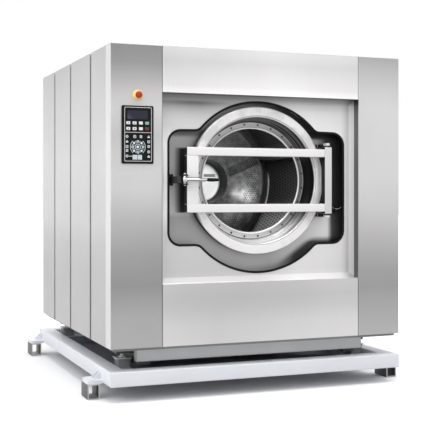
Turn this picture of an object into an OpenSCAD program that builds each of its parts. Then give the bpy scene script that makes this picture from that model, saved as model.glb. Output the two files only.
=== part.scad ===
// Commercial washer-extractor: a stainless cabinet round a tub with a horizontal drum, a dished
// round door carried by a hinged bar frame, and a welded base frame on hollow steel feet.
// All modules work in the cabinet's own frame: x to the right, y from the front face to the
// back, z up from the cabinet's lower edge. seat() moves the result to the floor and centres it.

/* [Cabinet] */
// Width of the cabinet
cab_w = 1864; // [1760:4:2060]
// Depth of the cabinet, front face to rear face
cab_d = 1869; // [1840:1:1980]
// Height of the cabinet without its base
cab_h = 1720; // [1640:5:1900]
// Thickness of the cabinet's sheet metal
sheet = 2; // [1.5:0.5:3]
// Width of the left front column, which carries the controls
column_w = 305; // [285:1:320]
// Width of the right front column
column_right_w = 286; // [260:1:310]
// Depth of the front column's return along the side
column_return = 105; // [80:1:130]
// Bend radius at the corners of the folded panels
bend_r = 5; // [3.5:0.5:9]
// Gap between a front column and the recess's sheet metal
panel_gap = 0.5; // [0.4:0.1:4]
// Depth of the folded edge behind the middle front panels
front_return = 20; // [12:1:30]
// Width of the vertical seams on the cabinet's sides
seam_w = 38; // [16:1:44]
// Depth of the seams
seam_d = 15; // [10:1:24]
// Length of the first side panel behind the column
side_panel_1 = 337; // [300:1:380]
// Length of the second side panel
side_panel_2 = 488; // [450:1:540]
// Length of the third side panel
side_panel_3 = 444; // [420:1:500]
// Radius of the roof's rear edge
roof_rear_r = 25; // [12:1:40]
// Side of the square frame posts
post = 40; // [36:2:50]

/* [Door recess] */
// Height of the sill over the cabinet's lower edge
sill_h = 356; // [320:1:380]
// Height of the recess
recess_h = 1098; // [1060:1:1140]
// Depth of the recess's square wall
recess_wall = 54; // [40:1:60]
// Width of the bevel between the wall and the recess's face
bevel_w = 31; // [16:1:40]
// Depth of the bevel
bevel_d = 13; // [8:1:18]
// Gap between the cut-out's round part and the bevel above it
cutout_top_gap = 6; // [6:1:30]
// Gap between the cut-out's round part and the bevel below it
cutout_low_gap = 14; // [10:1:40]
// Width over the cut-out's side lobes
lobe_w = 1144; // [1110:2:1160]
// Height of the side lobes
lobe_h = 677; // [620:1:700]
// Corner radius of the side lobes
lobe_r = 78; // [50:1:100]
// Radius of the blend between the lobes and the round part
lobe_blend_r = 60; // [30:1:80]
// Width of the rubber edging on the cut-out
edging_w = 8; // [6:0.5:12]
// Thickness of the edging's lips
edging_t = 3; // [2:0.5:5]

/* [Drum and tub] */
// Height of the door's and the drum's axis over the cabinet's lower edge
axis_z = 955; // [940:1:965]
// Distance of the tub's front plate behind the cabinet's front face
tub_plate_y = 135; // [128:1:150]
// Thickness of the tub's front and back plates
tub_plate_t = 8; // [6:1:12]
// Radius of the tub's front plate
tub_plate_r = 705; // [695:1:715]
// Radius of the tub's mouth
mouth_r = 402; // [396:1:412]
// Wall thickness of the tub
tub_wall = 5; // [3:0.5:8]
// Inner radius of the drum
drum_r = 520; // [480:1:550]
// Wall thickness of the drum
drum_wall = 4; // [3:0.5:5]
// Radial gap between the drum and the tub
drum_gap = 38; // [30:1:50]
// Inner depth of the drum at its wall
drum_d = 866; // [800:1:900]
// Radius of the drum's mouth
drum_mouth_r = 388; // [370:1:395]
// Depth of the dish in the drum's back
dish_d = 158; // [120:1:180]
// Radius of the flat part of the drum's back
back_flat_r = 410; // [380:1:430]
// Radius of the hub's pot in the drum's back
pot_r = 147; // [130:1:165]
// Depth of the hub's pot
pot_d = 128; // [110:1:140]
// Height of the lifting ribs in the drum
rib_h = 110; // [80:1:125]
// Number of lifting ribs
rib_n = 3; // [3:1:4]
// Angle of the first lifting rib over the horizontal
rib_a = 23; // [0:1:40]

/* [Drive] */
// Radius of the drum's shaft
shaft_r = 60; // [50:1:66]
// Outer radius of the shaft's bearings
bearing_r = 95; // [88:1:105]
// Width of each bearing
bearing_w = 62; // [50:1:74]
// Length of the bearing housing
housing_l = 340; // [300:1:360]
// Radius of the drum's pulley
pulley_r = 330; // [280:1:350]
// Radius of the motor's pulley
motor_pulley_r = 95; // [80:1:110]
// Number of drive belts
belt_n = 4; // [3:1:5]
// Width of one belt
belt_w = 16; // [13:1:18]
// Thickness of one belt
belt_t = 12; // [10:1:14]
// Sideways distance of the motor from the drum's axis
motor_x = 470; // [430:1:520]
// Height of the motor's axis over the cabinet's lower edge
motor_z = 190; // [175:1:200]
// Radius of the motor's body
motor_r = 120; // [105:1:130]
// Length of the motor's body
motor_l = 340; // [300:1:360]
// Outer radius of the drain pipe
drain_r = 54; // [45:1:57]
// Outer radius of the water inlet stubs
inlet_r = 21; // [16:0.5:24]

/* [Door] */
// Outer radius of the door's ring
ring_r = 443; // [436:1:450]
// Radius at which the ring turns into the dish
ring_inner_r = 387; // [382:1:390]
// Distance of the ring's face behind the cabinet's front face
ring_y = 70; // [66:1:76]
// Thickness of the ring's face and of the dish's wall
ring_t = 5; // [3:0.5:7]
// Outer radius of the window's clamping ring
clamp_r = 354; // [350:1:364]
// Inner radius of the clamping ring
window_r = 315; // [300:1:322]
// Radius of the round bead on the clamping ring's inner edge
bead_r = 5.5; // [4:0.5:5.5]
// Distance of the clamping ring's face behind the cabinet's front face
clamp_y = 177; // [170:1:182]
// Thickness of the clamping ring
clamp_t = 6; // [4:0.5:8]
// Thickness of the window glass
glass_t = 7; // [5:0.5:8]
// Number of bolts on the clamping ring
bolt_n = 24; // [18:2:30]
// Radius of the circle of bolts
bolt_circle_r = 342; // [338:1:346]
// Radius of a bolt's head
bolt_head_r = 6; // [4:0.5:7]
// Height of the door's bars
bar_h = 48; // [40:1:54]
// Depth of the door's bars
bar_d = 50; // [40:1:52]
// Overall height of the bar frame
bar_frame_h = 380; // [350:1:400]
// Distance of the bar frame's free edge from the middle of the door
bar_free_x = 472; // [465:1:480]
// Width of the bar frame's free upright
free_upright_w = 72; // [60:1:78]
// Distance of the hinge's axis from the middle of the door
hinge_x = 445; // [440:1:462]
// Width of the hinge post
hinge_post_w = 48; // [40:1:50]
// Height of the hinge post
hinge_post_h = 406; // [400:1:420]
// Radius of the hinge pins
hinge_pin_r = 14; // [10:0.5:16]
// Thickness of the hinge brackets
hinge_lug_t = 20; // [16:1:32]
// Height of the hinge pins' six-sided heads
hinge_cap_t = 7; // [5:0.5:12]
// Length of the latch lever from its pin to the end of its grip
lever_l = 212; // [190:1:230]
// Radius of the latch lever's rod
lever_r = 13; // [9:0.5:14]
// Radius of the latch's pin
latch_pin_r = 8; // [6:0.5:9]
// Clear height between the latch's ears
latch_h = 44; // [36:1:50]

/* [Controls] */
// Width of the control panel
panel_w = 187; // [170:1:200]
// Height of the control panel
panel_h = 328; // [300:1:350]
// Thickness of the control panel
panel_t = 6; // [4:0.5:8]
// Height of the control panel's centre over the cabinet's lower edge
panel_z = 1208; // [1180:1:1230]
// Width of the display
display_w = 121; // [100:1:130]
// Height of the display
display_h = 50; // [40:1:54]
// Width of a key
key_w = 23; // [18:0.5:27]
// Height of a key
key_h = 17; // [13:0.5:20]
// Spacing of the keys across the panel
key_pitch_x = 36.8; // [33:0.2:40]
// Spacing of the two rows of keys
key_pitch_z = 32; // [26:0.5:36]
// Travel of a key
key_travel = 1.2; // [0.6:0.1:2]
// Radius of the emergency stop's legend ring
estop_ring_r = 30; // [26:0.5:34]
// Radius of the emergency stop's mushroom
estop_r = 20; // [16:0.5:22]
// Distance that the emergency stop stands out of the column
estop_out = 34; // [30:1:42]
// Travel of the emergency stop
estop_travel = 5; // [3:0.5:7]

/* [Base] */
// Height of the cabinet's lower edge over the floor
base_h = 310; // [300:1:330]
// Length of the base frame
base_l = 2000; // [1980:1:2100]
// Width of the base frame's beams
beam_w = 98; // [80:1:110]
// Height of the base frame's beams
beam_h = 85; // [75:1:90]
// Gap from the cabinet's lower edge down to the base frame
base_drop = 130; // [125:1:140]
// Width of each foot
foot_w = 72; // [60:1:84]
// Height of each foot
foot_h = 90; // [80:1:94]
// Length of each foot
foot_l = 150; // [120:1:170]
// Wall of the feet
foot_wall = 8; // [5:0.5:12]
// Thickness of the foot brackets
bracket_t = 20; // [14:1:26]
// Side of the vibration isolators
isolator_w = 96; // [80:1:104]
// Height of the vibration isolators' cushions
isolator_h = 68; // [62:1:70]
// Height of the under-frame's rails
rail_h = 124; // [110:1:130]
// Width of the under-frame's rails
rail_w = 80; // [60:1:84]

/* [Hidden] */
$fn = 72;

// clearances
eps = 1;                 // overshoot of a cut past the solid
run_gap = 0.3;           // gap between faces that move past each other
pin_gap = 0.05;          // radial running clearance round a pin or shaft
lap = 0.02;              // overlap of arcs and lines that run into each other

// cabinet
half_w = cab_w / 2;
wall_h = cab_h - sheet;                   // the roof lies on the walls
left_x = column_w - half_w;               // inner edge of the left front column
right_x = half_w - column_right_w;        // inner edge of the right front column
mid_x0 = left_x + sheet + panel_gap;      // left and right edge of the recess and the middle panels
mid_x1 = right_x - sheet - panel_gap;
seam_y1 = column_return + sheet + side_panel_1;
seam_y2 = seam_y1 + seam_w + side_panel_2;
seam_y3 = seam_y2 + seam_w + side_panel_3;
seams = [seam_y1, seam_y2, seam_y3];
panel_starts = [column_return + sheet, seam_y1 + seam_w, seam_y2 + seam_w, seam_y3 + seam_w];
panel_ends = [seam_y1, seam_y2, seam_y3, cab_d];
recess_top = sill_h + recess_h;
face_y = recess_wall + bevel_d;           // depth of the recess's face
cutout_r = (recess_h - 2 * bevel_w - cutout_top_gap - cutout_low_gap) / 2;
cutout_z = sill_h + bevel_w + cutout_low_gap + cutout_r;
lip_in = 22;                              // the floor pan stands this far inside the walls
pan_skirt = 16;
pan_t = 3;
post_x = half_w - seam_d - post;          // inner face of the posts

// tub and drum
drum_front_y = clamp_y + clamp_t + glass_t + ring_t + 20;
drum_rim_y = drum_front_y + drum_wall + drum_d;     // where the wall meets the back
dish_y = drum_rim_y - dish_d;                       // face of the back's flat part
pot_y = dish_y + pot_d;
flange_t = 24;                                      // shaft's flange behind the pot
tub_r = drum_r + drum_wall + drum_gap;
tub_front_y = tub_plate_y + tub_plate_t;
tub_back_y = max(drum_rim_y + drum_wall, pot_y + drum_wall + flange_t) + 28;
housing_y = tub_back_y + tub_plate_t;
housing_end = housing_y + housing_l;
housing_flange_r = bearing_r + 50;
pulley_y = housing_end + 60;
belt_pitch = belt_w + 5;
pulley_w = belt_n * belt_pitch + 8;
shaft_end = pulley_y + pulley_w + 14;
groove_d = belt_t - 1;
saddle_t = 12;
saddle_y = [tub_front_y + 150, tub_back_y - 160];
saddle_w = 900;
drain_y = (saddle_y[0] + saddle_y[1]) / 2;
drain_z = 120;
drain_out = 80;
inlet_x = [-300, -180, -60];
inlet_z = axis_z + 445;
inlet_out = 66;
motor_y = pulley_y - 60 - motor_l;
slide_w = 60;                                       // width and height of the motor's slide rails
slide_h = 40;

// door
gasket_t = 16;
gasket_y = tub_plate_y - gasket_t;
ring_back_y = gasket_y - run_gap;
rim_w = 18;                                         // width of the ring's outer wall
seat_y = clamp_y + clamp_t;                         // back of the clamping ring
dish_end = seat_y + glass_t + ring_t;
bar_y = ring_y - 5 - bar_d;                         // front of the bars
bar_back = bar_y + bar_d;
hinge_y = bar_y + bar_d / 2;
bar_top = axis_z + bar_frame_h / 2;
bar_low = axis_z - bar_frame_h / 2;
latch_x = -(bar_free_x + 23);
latch_y = bar_y - 25;
ear_t = 8;
ear_r = 16;
hub_r = lever_r + 5;
cam_r = hub_r + 6;                                  // reach of the cam's lobe
keeper_x = latch_x - cam_r - run_gap;

// controls
panel_x = -(half_w - column_w / 2) + 4;
display_z = panel_z + 113;
keys_z = panel_z + 50;
estop_x = -(half_w - column_w / 2) + 6;
estop_z = panel_z + 225;
stem_r = 11;

// base
base_top = -base_drop;
base_low = base_top - beam_h;
foot_x = half_w + 16;
foot_top = -base_h + foot_h;
foot_y = [175, base_l - foot_l];
isolator_x = half_w - beam_w - 56;
isolator_y = [beam_w + 202, min(base_l - beam_w - 162, cab_d - 129)];
isolator_top = -69;
stub_h = 24;                                        // from a cushion's top plate to the under-frame
isolator_low = isolator_top - stub_h - isolator_h;
rail_x = half_w - beam_w - 194;
cross_beam_h = 102;
cross_beam_y = 133;
cross_member_w = 60;
cross_beam_d = 60;
cross_beam_x = 737;

// overall
front_y = -estop_out;
mid_y = (base_l + front_y) / 2;

steel = [0.80, 0.80, 0.80];
dark = [0.16, 0.17, 0.19];

module seat() translate([0, -mid_y, base_h]) children();

// rounded rectangle from corner to corner
module rrect(x0, y0, x1, y1, r) {
    translate([x0 + r, y0]) square([x1 - x0 - 2 * r, y1 - y0]);
    translate([x0, y0 + r]) square([x1 - x0, y1 - y0 - 2 * r]);
    for (x = [x0 + r, x1 - r], y = [y0 + r, y1 - r]) translate([x, y]) circle(r);
}

module rect(x0, y0, x1, y1) translate([x0, y0]) square([x1 - x0, y1 - y0]);

// prisms from a flat outline: across y (outline in x, z), across x (outline in y, z)
module slab_y(y0, y1) translate([0, y1, 0]) rotate([90, 0, 0]) linear_extrude(y1 - y0) children();
module slab_x(x0, x1) translate([x0, 0, 0]) rotate([90, 0, 90]) linear_extrude(x1 - x0) children();
module slab_z(z0, z1) translate([0, 0, z0]) linear_extrude(z1 - z0) children();
module box(x0, y0, z0, x1, y1, z1) translate([x0, y0, z0]) cube([x1 - x0, y1 - y0, z1 - z0]);

// turned body round an axis along y: the outline is given as radius and y
module turned(x = 0, z = 0) translate([x, 0, z]) rotate([-90, 0, 0]) rotate_extrude() children();
module rod_y(r, y0, y1, x = 0, z = 0) translate([x, y0, z]) rotate([-90, 0, 0]) cylinder(r = r, h = y1 - y0);
module rod_z(r, z0, z1, x = 0, y = 0) translate([x, y, z0]) cylinder(r = r, h = z1 - z0);

module both_sides() {
    children();
    mirror([1, 0, 0]) children();
}

// base

module base_frame() color([0.88, 0.90, 0.93]) seat() {
    slab_z(base_low, base_top) difference() {
        rect(-half_w, 0, half_w, base_l);
        rect(-half_w + beam_w, beam_w, half_w - beam_w, base_l - beam_w);
    }
}

module foot_bracket(y0) {
    plate_end = foot_x + foot_w + 2;
    corner_r = min(45, foot_l / 2 - 1);
    gusset_l = foot_w * 0.7;
    gusset_h = 42;
    slab_z(foot_top, foot_top + bracket_t) {
        rect(half_w, y0, plate_end - corner_r, y0 + foot_l);
        rrect(half_w + 2, y0, plate_end, y0 + foot_l, corner_r);
    }
    for (t = [0.26, 0.68])
        slab_y(y0 + foot_l * t, y0 + foot_l * t + 9)
            polygon([[half_w, foot_top + bracket_t], [half_w + gusset_l, foot_top + bracket_t],
                [half_w, min(foot_top + bracket_t + gusset_h, base_top)]]);
}

module foot_brackets() color([0.88, 0.90, 0.93]) seat()
    both_sides() for (y = foot_y) foot_bracket(y);

module feet() color([0.62, 0.62, 0.61]) seat()
    both_sides() for (y = foot_y) slab_y(y, y + foot_l) difference() {
        rrect(foot_x, -base_h, foot_x + foot_w, foot_top, 6);
        rrect(foot_x + foot_wall, -base_h + foot_wall, foot_x + foot_w - foot_wall,
            foot_top - foot_wall, 4);
    }

module isolators() color(dark) seat()
    both_sides() for (y = isolator_y) translate([isolator_x, y, 0]) {
        w = isolator_w / 2;
        plate = 6;
        waist = 5;
        cushion_top = isolator_top - stub_h;
        slab_z(isolator_low, isolator_low + plate) rrect(-w, -w, w, w, 6);
        slab_z(isolator_low + plate, cushion_top - plate) rrect(-w + waist, -w + waist, w - waist, w - waist, 10);
        slab_z(cushion_top - plate, cushion_top) rrect(-w, -w, w, w, 6);
        rod_z(15, cushion_top - 1, isolator_top);
        translate([0, 0, cushion_top - 1]) cylinder(r = 24, h = 9, $fn = 6);
    }

// two cross tubes under the isolators and the dark closing sheet between the base frame's beams
module isolator_beams() color(dark) seat() {
    for (y = isolator_y) slab_x(-half_w + beam_w, half_w - beam_w) difference() {
        rrect(y - 50, base_low + 3, y + 50, isolator_low, 6);
        rrect(y - 44, base_low + 10, y + 44, isolator_low - 6, 4);
    }
    box(-half_w + beam_w, beam_w, base_low + 1, half_w - beam_w, base_l - beam_w, base_low + 4);
}

// welded under-frame: floor pan with a turned-down lip, two rails, a rear cross member and the
// outriggers that stand on the isolators
module under_frame() color(dark) seat() {
    rail_top = -pan_t;
    rear_y = isolator_y[1] + 35;
    difference() {
        box(-half_w + lip_in, lip_in, -pan_skirt, half_w - lip_in, cab_d - lip_in, 0);
        box(-half_w + lip_in + pan_t, lip_in + pan_t, -pan_skirt - eps,
            half_w - lip_in - pan_t, cab_d - lip_in - pan_t, -pan_t);
    }
    both_sides() {
        box(rail_x, cross_beam_y + cross_beam_d, rail_top - rail_h, rail_x + rail_w, rear_y, rail_top);
        for (y = isolator_y)
            box(rail_x + rail_w, y - 35, isolator_top, isolator_x + isolator_w / 2, y + 35, isolator_top + 12);
    }
    box(-rail_x, rear_y - cross_member_w, rail_top - rail_h + 20, rail_x, rear_y, rail_top);
}

module front_cross_beam() color([0.66, 0.68, 0.69]) seat()
    slab_x(-cross_beam_x, cross_beam_x)
        rrect(cross_beam_y, -cross_beam_h, cross_beam_y + cross_beam_d, -pan_t, 6);

// cabinet

// square posts behind each seam, the roof's cross rails and the front rail
module cabinet_frame() color(dark) seat() {
    post_y = concat([front_return], [for (s = seams) s + seam_w / 2 - post / 2], [cab_d - roof_rear_r - post]);
    both_sides() for (y = post_y) slab_z(0, wall_h) difference() {
        rrect(post_x, y, post_x + post, y + post, 4);
        rrect(post_x + 3, y + 3, post_x + post - 3, y + post - 3, 2);
    }
    for (s = seams) {
        y = s + seam_w / 2 - post / 2;
        box(-post_x, y, cab_h - seam_d - post, post_x, y + post, cab_h - seam_d);
    }
    box(-post_x, front_return, wall_h - post, post_x, front_return + post, wall_h);
}

// plan of a right-hand front column of width w: face, outer return and short inner return
module column_plan(w) difference() {
    deep = 2 * column_return;
    x0 = half_w - w;
    rrect(x0, 0, half_w, deep, bend_r);
    rrect(x0 + sheet, sheet, half_w - sheet, deep, bend_r - sheet);
    rect(x0 - eps, column_return, half_w + eps, deep + eps);
    rect(x0 - eps, front_return, x0 + sheet + eps, deep);
}

module right_front_column() color(steel) seat() slab_z(0, wall_h) column_plan(column_right_w);

module left_front_column() color(steel) seat() difference() {
    mirror([1, 0, 0]) slab_z(0, wall_h) column_plan(column_w);
    rod_y(stem_r + 1.5, -eps, sheet + eps, estop_x, estop_z);
}

// a middle front panel is a skin with a return down each side
module front_panel(z0, z1) {
    slab_z(z0, z1) difference() {
        rrect(mid_x0, 0, mid_x1, 2 * front_return + bend_r, bend_r);
        rrect(mid_x0 + sheet, sheet, mid_x1 - sheet, 2 * front_return + bend_r, bend_r - sheet);
        rect(mid_x0 - eps, front_return, mid_x1 + eps, 3 * front_return + bend_r);
    }
}

module upper_front_panel() color([0.86, 0.86, 0.86]) seat() front_panel(recess_top + sheet, wall_h);

module lower_front_panel() color([0.86, 0.86, 0.86]) seat() {
    front_panel(0, sill_h - sheet);
    box(mid_x0 + sheet, sheet, 0, mid_x1 - sheet, lip_in + 14, sheet);
}

// recess: square wall, bevel and face, given by the plan of its hollow grown by g
bevel_l = sqrt(bevel_w * bevel_w + bevel_d * bevel_d);
function knee_wall(g) = recess_wall + g * (1 - bevel_d / bevel_l) / (bevel_w / bevel_l);
function knee_face(g) = bevel_w - (g - g * bevel_w / bevel_l) / (bevel_d / bevel_l);
function recess_side(a, b, g, front) = [[a - g, front], [b + g, front], [b + g, knee_wall(g)],
    [b - knee_face(g), face_y + g], [a + knee_face(g), face_y + g], [a - g, knee_wall(g)]];

module recess_form(g, front) intersection() {
    slab_z(sill_h - 2 * g - eps, recess_top + 2 * g + eps) polygon(recess_side(mid_x0, mid_x1, g, front));
    slab_x(mid_x0 - 2 * g - eps, mid_x1 + 2 * g + eps)
        polygon([for (p = recess_side(sill_h, recess_top, g, front)) [p[1], p[0]]]);
}

// round cut-out with two side lobes and blended corners, grown by g, about its own centre
module cutout_outline(g) {
    big = cutout_r + g;
    half = lobe_h / 2 + g;
    blend = lobe_blend_r - g;
    cz = half + blend - lap;
    cx = sqrt(pow(big + blend - lap, 2) - pow(cz, 2));
    circle(big, $fn = 144);
    rrect(-lobe_w / 2 - g, -half, lobe_w / 2 + g, half, lobe_r + g);
    for (sx = [-1, 1], sz = [-1, 1]) difference() {
        corner = [[sx * cx * 0.6, sz * cz * 0.6], [sx * cx, sz * cz], [sx * cx, sz * half * 0.6]];
        polygon([for (i = [0:2]) corner[sx * sz > 0 ? 2 - i : i]]);
        translate([sx * cx, sz * cz]) circle(blend);
    }
}

module cutout_prism(g, y0, y1) slab_y(y0, y1) translate([0, cutout_z]) cutout_outline(g);

module recess_panel() color([0.84, 0.84, 0.84]) seat() {
    difference() {
        union() {
            recess_form(sheet, 0);
            for (z = [sill_h - 18, recess_top])
                box(mid_x0 + 30, sheet, z, mid_x1 - 30, 2 * sheet, z + 18);
        }
        recess_form(0, -eps);
        cutout_prism(0, face_y - eps, face_y + sheet + eps);
    }
    // narrow strips beside the opening, flush with the front
    box(mid_x1, 0, sill_h, right_x - run_gap, sheet, recess_top);
    box(left_x + run_gap, 0, sill_h, mid_x0, sheet, recess_top);
}

// rubber channel pushed over the edge of the cut-out
module cutout_edging() color([0.05, 0.05, 0.06]) seat() difference() {
    cutout_prism(edging_w - edging_t, face_y - edging_t, face_y + sheet + edging_t);
    cutout_prism(-edging_t, face_y - edging_t - eps, face_y + sheet + edging_t + eps);
    difference() {
        cutout_prism(edging_w, face_y, face_y + sheet);
        cutout_prism(0, face_y - eps, face_y + sheet + eps);
    }
}

// one side panel, a tray with folded front and rear edges
module side_panel(i) {
    y0 = panel_starts[i];
    y1 = panel_ends[i];
    difference() {
        slab_z(0, wall_h) difference() {
            rrect(half_w - 3 * seam_d, y0, half_w, y1, bend_r);
            rrect(half_w - 4 * seam_d, y0 + sheet, half_w - sheet, y1 - sheet, bend_r - sheet);
            rect(half_w - 5 * seam_d, y0 - eps, half_w - seam_d, y1 + eps);
        }
        if (i == 3) slab_x(half_w - 5 * seam_d, half_w + eps) difference() {
            rect(cab_d - roof_rear_r, cab_h - roof_rear_r, cab_d + eps, cab_h + eps);
            translate([cab_d - roof_rear_r, cab_h - roof_rear_r]) circle(roof_rear_r - sheet);
        }
    }
}

module right_side_panels() color(steel) seat() for (i = [0:3]) side_panel(i);
module left_side_panels() color(steel) seat() mirror([1, 0, 0]) for (i = [0:3]) side_panel(i);

// roof trays that carry the side seams over the top; the last one bends down at the rear
module top_panels() color(steel) seat() {
    starts = [0, panel_starts[1], panel_starts[2], panel_starts[3]];
    for (i = [0:2]) {
        box(-half_w, starts[i], wall_h, half_w, panel_ends[i], cab_h);
        if (i > 0) box(-post_x, starts[i], cab_h - seam_d, post_x, starts[i] + sheet, cab_h);
        box(-post_x, panel_ends[i] - sheet, cab_h - seam_d, post_x, panel_ends[i], cab_h);
    }
    drop = roof_rear_r + 12;
    slab_x(-half_w, half_w) difference() {
        rrect(starts[3], cab_h - 3 * roof_rear_r, cab_d, cab_h, roof_rear_r);
        rrect(starts[3] - roof_rear_r, cab_h - 4 * roof_rear_r, cab_d - sheet, wall_h, roof_rear_r - sheet);
        rect(starts[3] - eps, cab_h - 5 * roof_rear_r, cab_d + eps, cab_h - roof_rear_r);
    }
    rect_edge = starts[3];
    box(-half_w, rect_edge, wall_h, half_w, rect_edge + roof_rear_r, cab_h);
    box(-post_x, rect_edge, cab_h - seam_d, post_x, rect_edge + sheet, cab_h);
    box(-post_x - post, cab_d - sheet, cab_h - drop, post_x + post, cab_d, cab_h - roof_rear_r);
}

// rear wall with two louvred fields, the drain opening, the inlet holes and the cable entry
module rear_panel() color(steel) seat() {
    half = half_w - seam_d;
    top = cab_h - roof_rear_r - 12;
    slot_n = 9;
    slot_pitch = 34;
    cable_x = 640;
    difference() {
        box(-half, cab_d - sheet, 0, half, cab_d, top);
        for (x = inlet_x) rod_y(inlet_r + 4, cab_d - sheet - eps, cab_d + eps, x, inlet_z);
        rod_y(drain_r + 5, cab_d - sheet - eps, cab_d + eps, 0, drain_z);
        rod_y(24, cab_d - sheet - eps, cab_d + eps, cable_x, inlet_z);
        for (x = [-560, 260], k = [0:slot_n - 1])
            slab_y(cab_d - sheet - eps, cab_d + eps)
                rrect(x, 560 + k * slot_pitch, x + 300, 572 + k * slot_pitch, 5.9);
    }
    // cable entry bushing
    turned(cable_x, inlet_z) polygon([[16, cab_d - 14], [24, cab_d - 14], [24, cab_d], [32, cab_d],
        [32, cab_d + 8], [27, cab_d + 26], [16, cab_d + 26]]);
}

// tub

module tub_shell() color([0.6, 0.6, 0.6]) seat() difference() {
    union() {
        rod_y(tub_r + tub_wall, tub_front_y, tub_back_y, 0, axis_z);
        for (t = [0.33, 0.66]) {
            y = tub_front_y + (tub_back_y - tub_front_y) * t;
            rod_y(tub_r + tub_wall + 18, y - 6, y + 6, 0, axis_z);
        }
    }
    rod_y(tub_r, tub_front_y - eps, tub_back_y + eps, 0, axis_z);
    rod_z(drain_r - 4, axis_z - tub_r - 40, axis_z, 0, drain_y);
}

module tub_front_plate() color([0.55, 0.55, 0.54]) seat() difference() {
    rod_y(tub_plate_r, tub_plate_y, tub_front_y, 0, axis_z);
    rod_y(mouth_r, tub_plate_y - eps, tub_front_y + eps, 0, axis_z);
}

module tub_back_plate() color([0.55, 0.55, 0.54]) seat() {
    rib_len = tub_r - 150;
    difference() {
        rod_y(tub_r + tub_wall + 24, tub_back_y, housing_y, 0, axis_z);
        rod_y(shaft_r + 34, tub_back_y - eps, housing_y + eps, 0, axis_z);
        for (x = inlet_x) rod_y(inlet_r - 3, tub_back_y - eps, housing_y + eps, x, inlet_z);
    }
    translate([0, 0, axis_z]) for (a = [30:60:330]) rotate([0, a, 0])
        slab_z(-6, 6) polygon([[housing_flange_r + run_gap, housing_y], [rib_len, housing_y],
            [rib_len, housing_y + 20], [housing_flange_r + run_gap, housing_y + 150]]);
}

// two cradles on the floor pan, arched over the drain line
module tub_saddles() color(dark) seat()
    for (y = saddle_y) slab_y(y, y + saddle_t) difference() {
        rect(-saddle_w / 2, 0, saddle_w / 2, axis_z - tub_r * 0.55);
        translate([0, axis_z]) circle(tub_r + tub_wall, $fn = 144);
        rrect(-170, -60, 170, 250, 60);
        both_sides() translate([320, 190]) circle(65);
    }

module door_gasket() color([0.08, 0.08, 0.09]) seat()
    turned(0, axis_z) {
        rect(ring_r - 30, gasket_y + 4, ring_r - 2, tub_plate_y);
        rect(ring_r - 26, gasket_y, ring_r - 6, tub_plate_y);
    }

module bearing_housing() color([0.30, 0.32, 0.34]) seat() {
    flange_r = housing_flange_r;
    wall_r = bearing_r + 28;
    turned(0, axis_z) polygon([[bearing_r, housing_y], [flange_r, housing_y], [flange_r, housing_y + 26],
        [wall_r, housing_y + 34], [wall_r, housing_end - 20], [wall_r - 8, housing_end],
        [bearing_r, housing_end]]);
}

module shaft_bearings() color([0.75, 0.75, 0.76]) seat()
    for (y = [housing_y + 8, housing_end - 8 - bearing_w]) {
        race = (bearing_r - shaft_r) * 0.28;
        turned(0, axis_z) {
            rect(shaft_r + pin_gap, y, shaft_r + race, y + bearing_w);
            rect(bearing_r - race, y, bearing_r, y + bearing_w);
            rect(shaft_r + race, y + 6, bearing_r - race, y + bearing_w - 6);
        }
    }

module shaft_seal() color([0.10, 0.10, 0.11]) seat()
    turned(0, axis_z) polygon([[shaft_r + run_gap, tub_back_y - 2], [shaft_r + 34, tub_back_y - 2],
        [shaft_r + 34, housing_y], [shaft_r + 12, housing_y], [shaft_r + run_gap, housing_y - 4]]);

// drive

module motor() color([0.22, 0.30, 0.38]) seat() {
    fin_n = 28;
    turned(motor_x, motor_z) polygon([[0, motor_y], [motor_r - 22, motor_y], [motor_r - 12, motor_y + 12],
        [motor_r - 10, motor_y + motor_l - 12], [motor_r - 22, motor_y + motor_l], [0, motor_y + motor_l]]);
    translate([motor_x, 0, motor_z]) for (k = [0:fin_n - 1]) rotate([0, k * 360 / fin_n, 0])
        box(motor_r - 14, motor_y + 60, -2, motor_r, motor_y + motor_l - 50, 2);
    // terminal box and feet
    box(motor_x - 55, motor_y + 90, motor_z + motor_r - 20, motor_x + 55, motor_y + 210, motor_z + motor_r + 60);
    for (x = [motor_x - motor_r, motor_x + motor_r - slide_w], y = [motor_y + 60, motor_y + motor_l - 90])
        box(x, y, slide_h, x + slide_w, y + 50, motor_z - motor_r * 0.4);
}

// slotted slide rails bolted to the floor pan
module motor_base() color(dark) seat()
    for (x = [motor_x - motor_r, motor_x + motor_r - slide_w]) difference() {
        box(x, motor_y + 20, 0, x + slide_w, motor_y + motor_l - 10, slide_h);
        for (y = [motor_y + 34, motor_y + motor_l - 54])
            box(x + slide_w / 2 - 8, y, -eps, x + slide_w / 2 + 8, y + 20, slide_h + eps);
    }

// grooved pulley outline: radius r, bore b
module pulley_outline(r, b) difference() {
    rect(b, pulley_y, r, pulley_y + pulley_w);
    for (k = [0:belt_n - 1])
        rect(r - groove_d, pulley_y + 4 + 2.5 - run_gap + k * belt_pitch, r + eps,
            pulley_y + 4 + 2.5 + run_gap + k * belt_pitch + belt_w);
}

module drum_pulley() color([0.35, 0.36, 0.38]) seat() {
    rim = groove_d + 16;
    hub = shaft_r + 34;
    arm = 34;
    turned(0, axis_z) {
        pulley_outline(pulley_r, pulley_r - rim);
        rect(shaft_r, pulley_y, hub, pulley_y + pulley_w);
    }
    translate([0, 0, axis_z]) for (a = [0:60:300]) rotate([0, a, 0])
        slab_y(pulley_y + 28, pulley_y + pulley_w - 28) rect(hub - 4, -arm / 2, pulley_r - rim + 4, arm / 2);
}

module motor_pulley() color([0.45, 0.46, 0.48]) seat()
    turned(motor_x, motor_z) {
        pulley_outline(motor_pulley_r, 0);
        rect(0, motor_y + motor_l + run_gap, 24, pulley_y + eps);
    }

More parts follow.
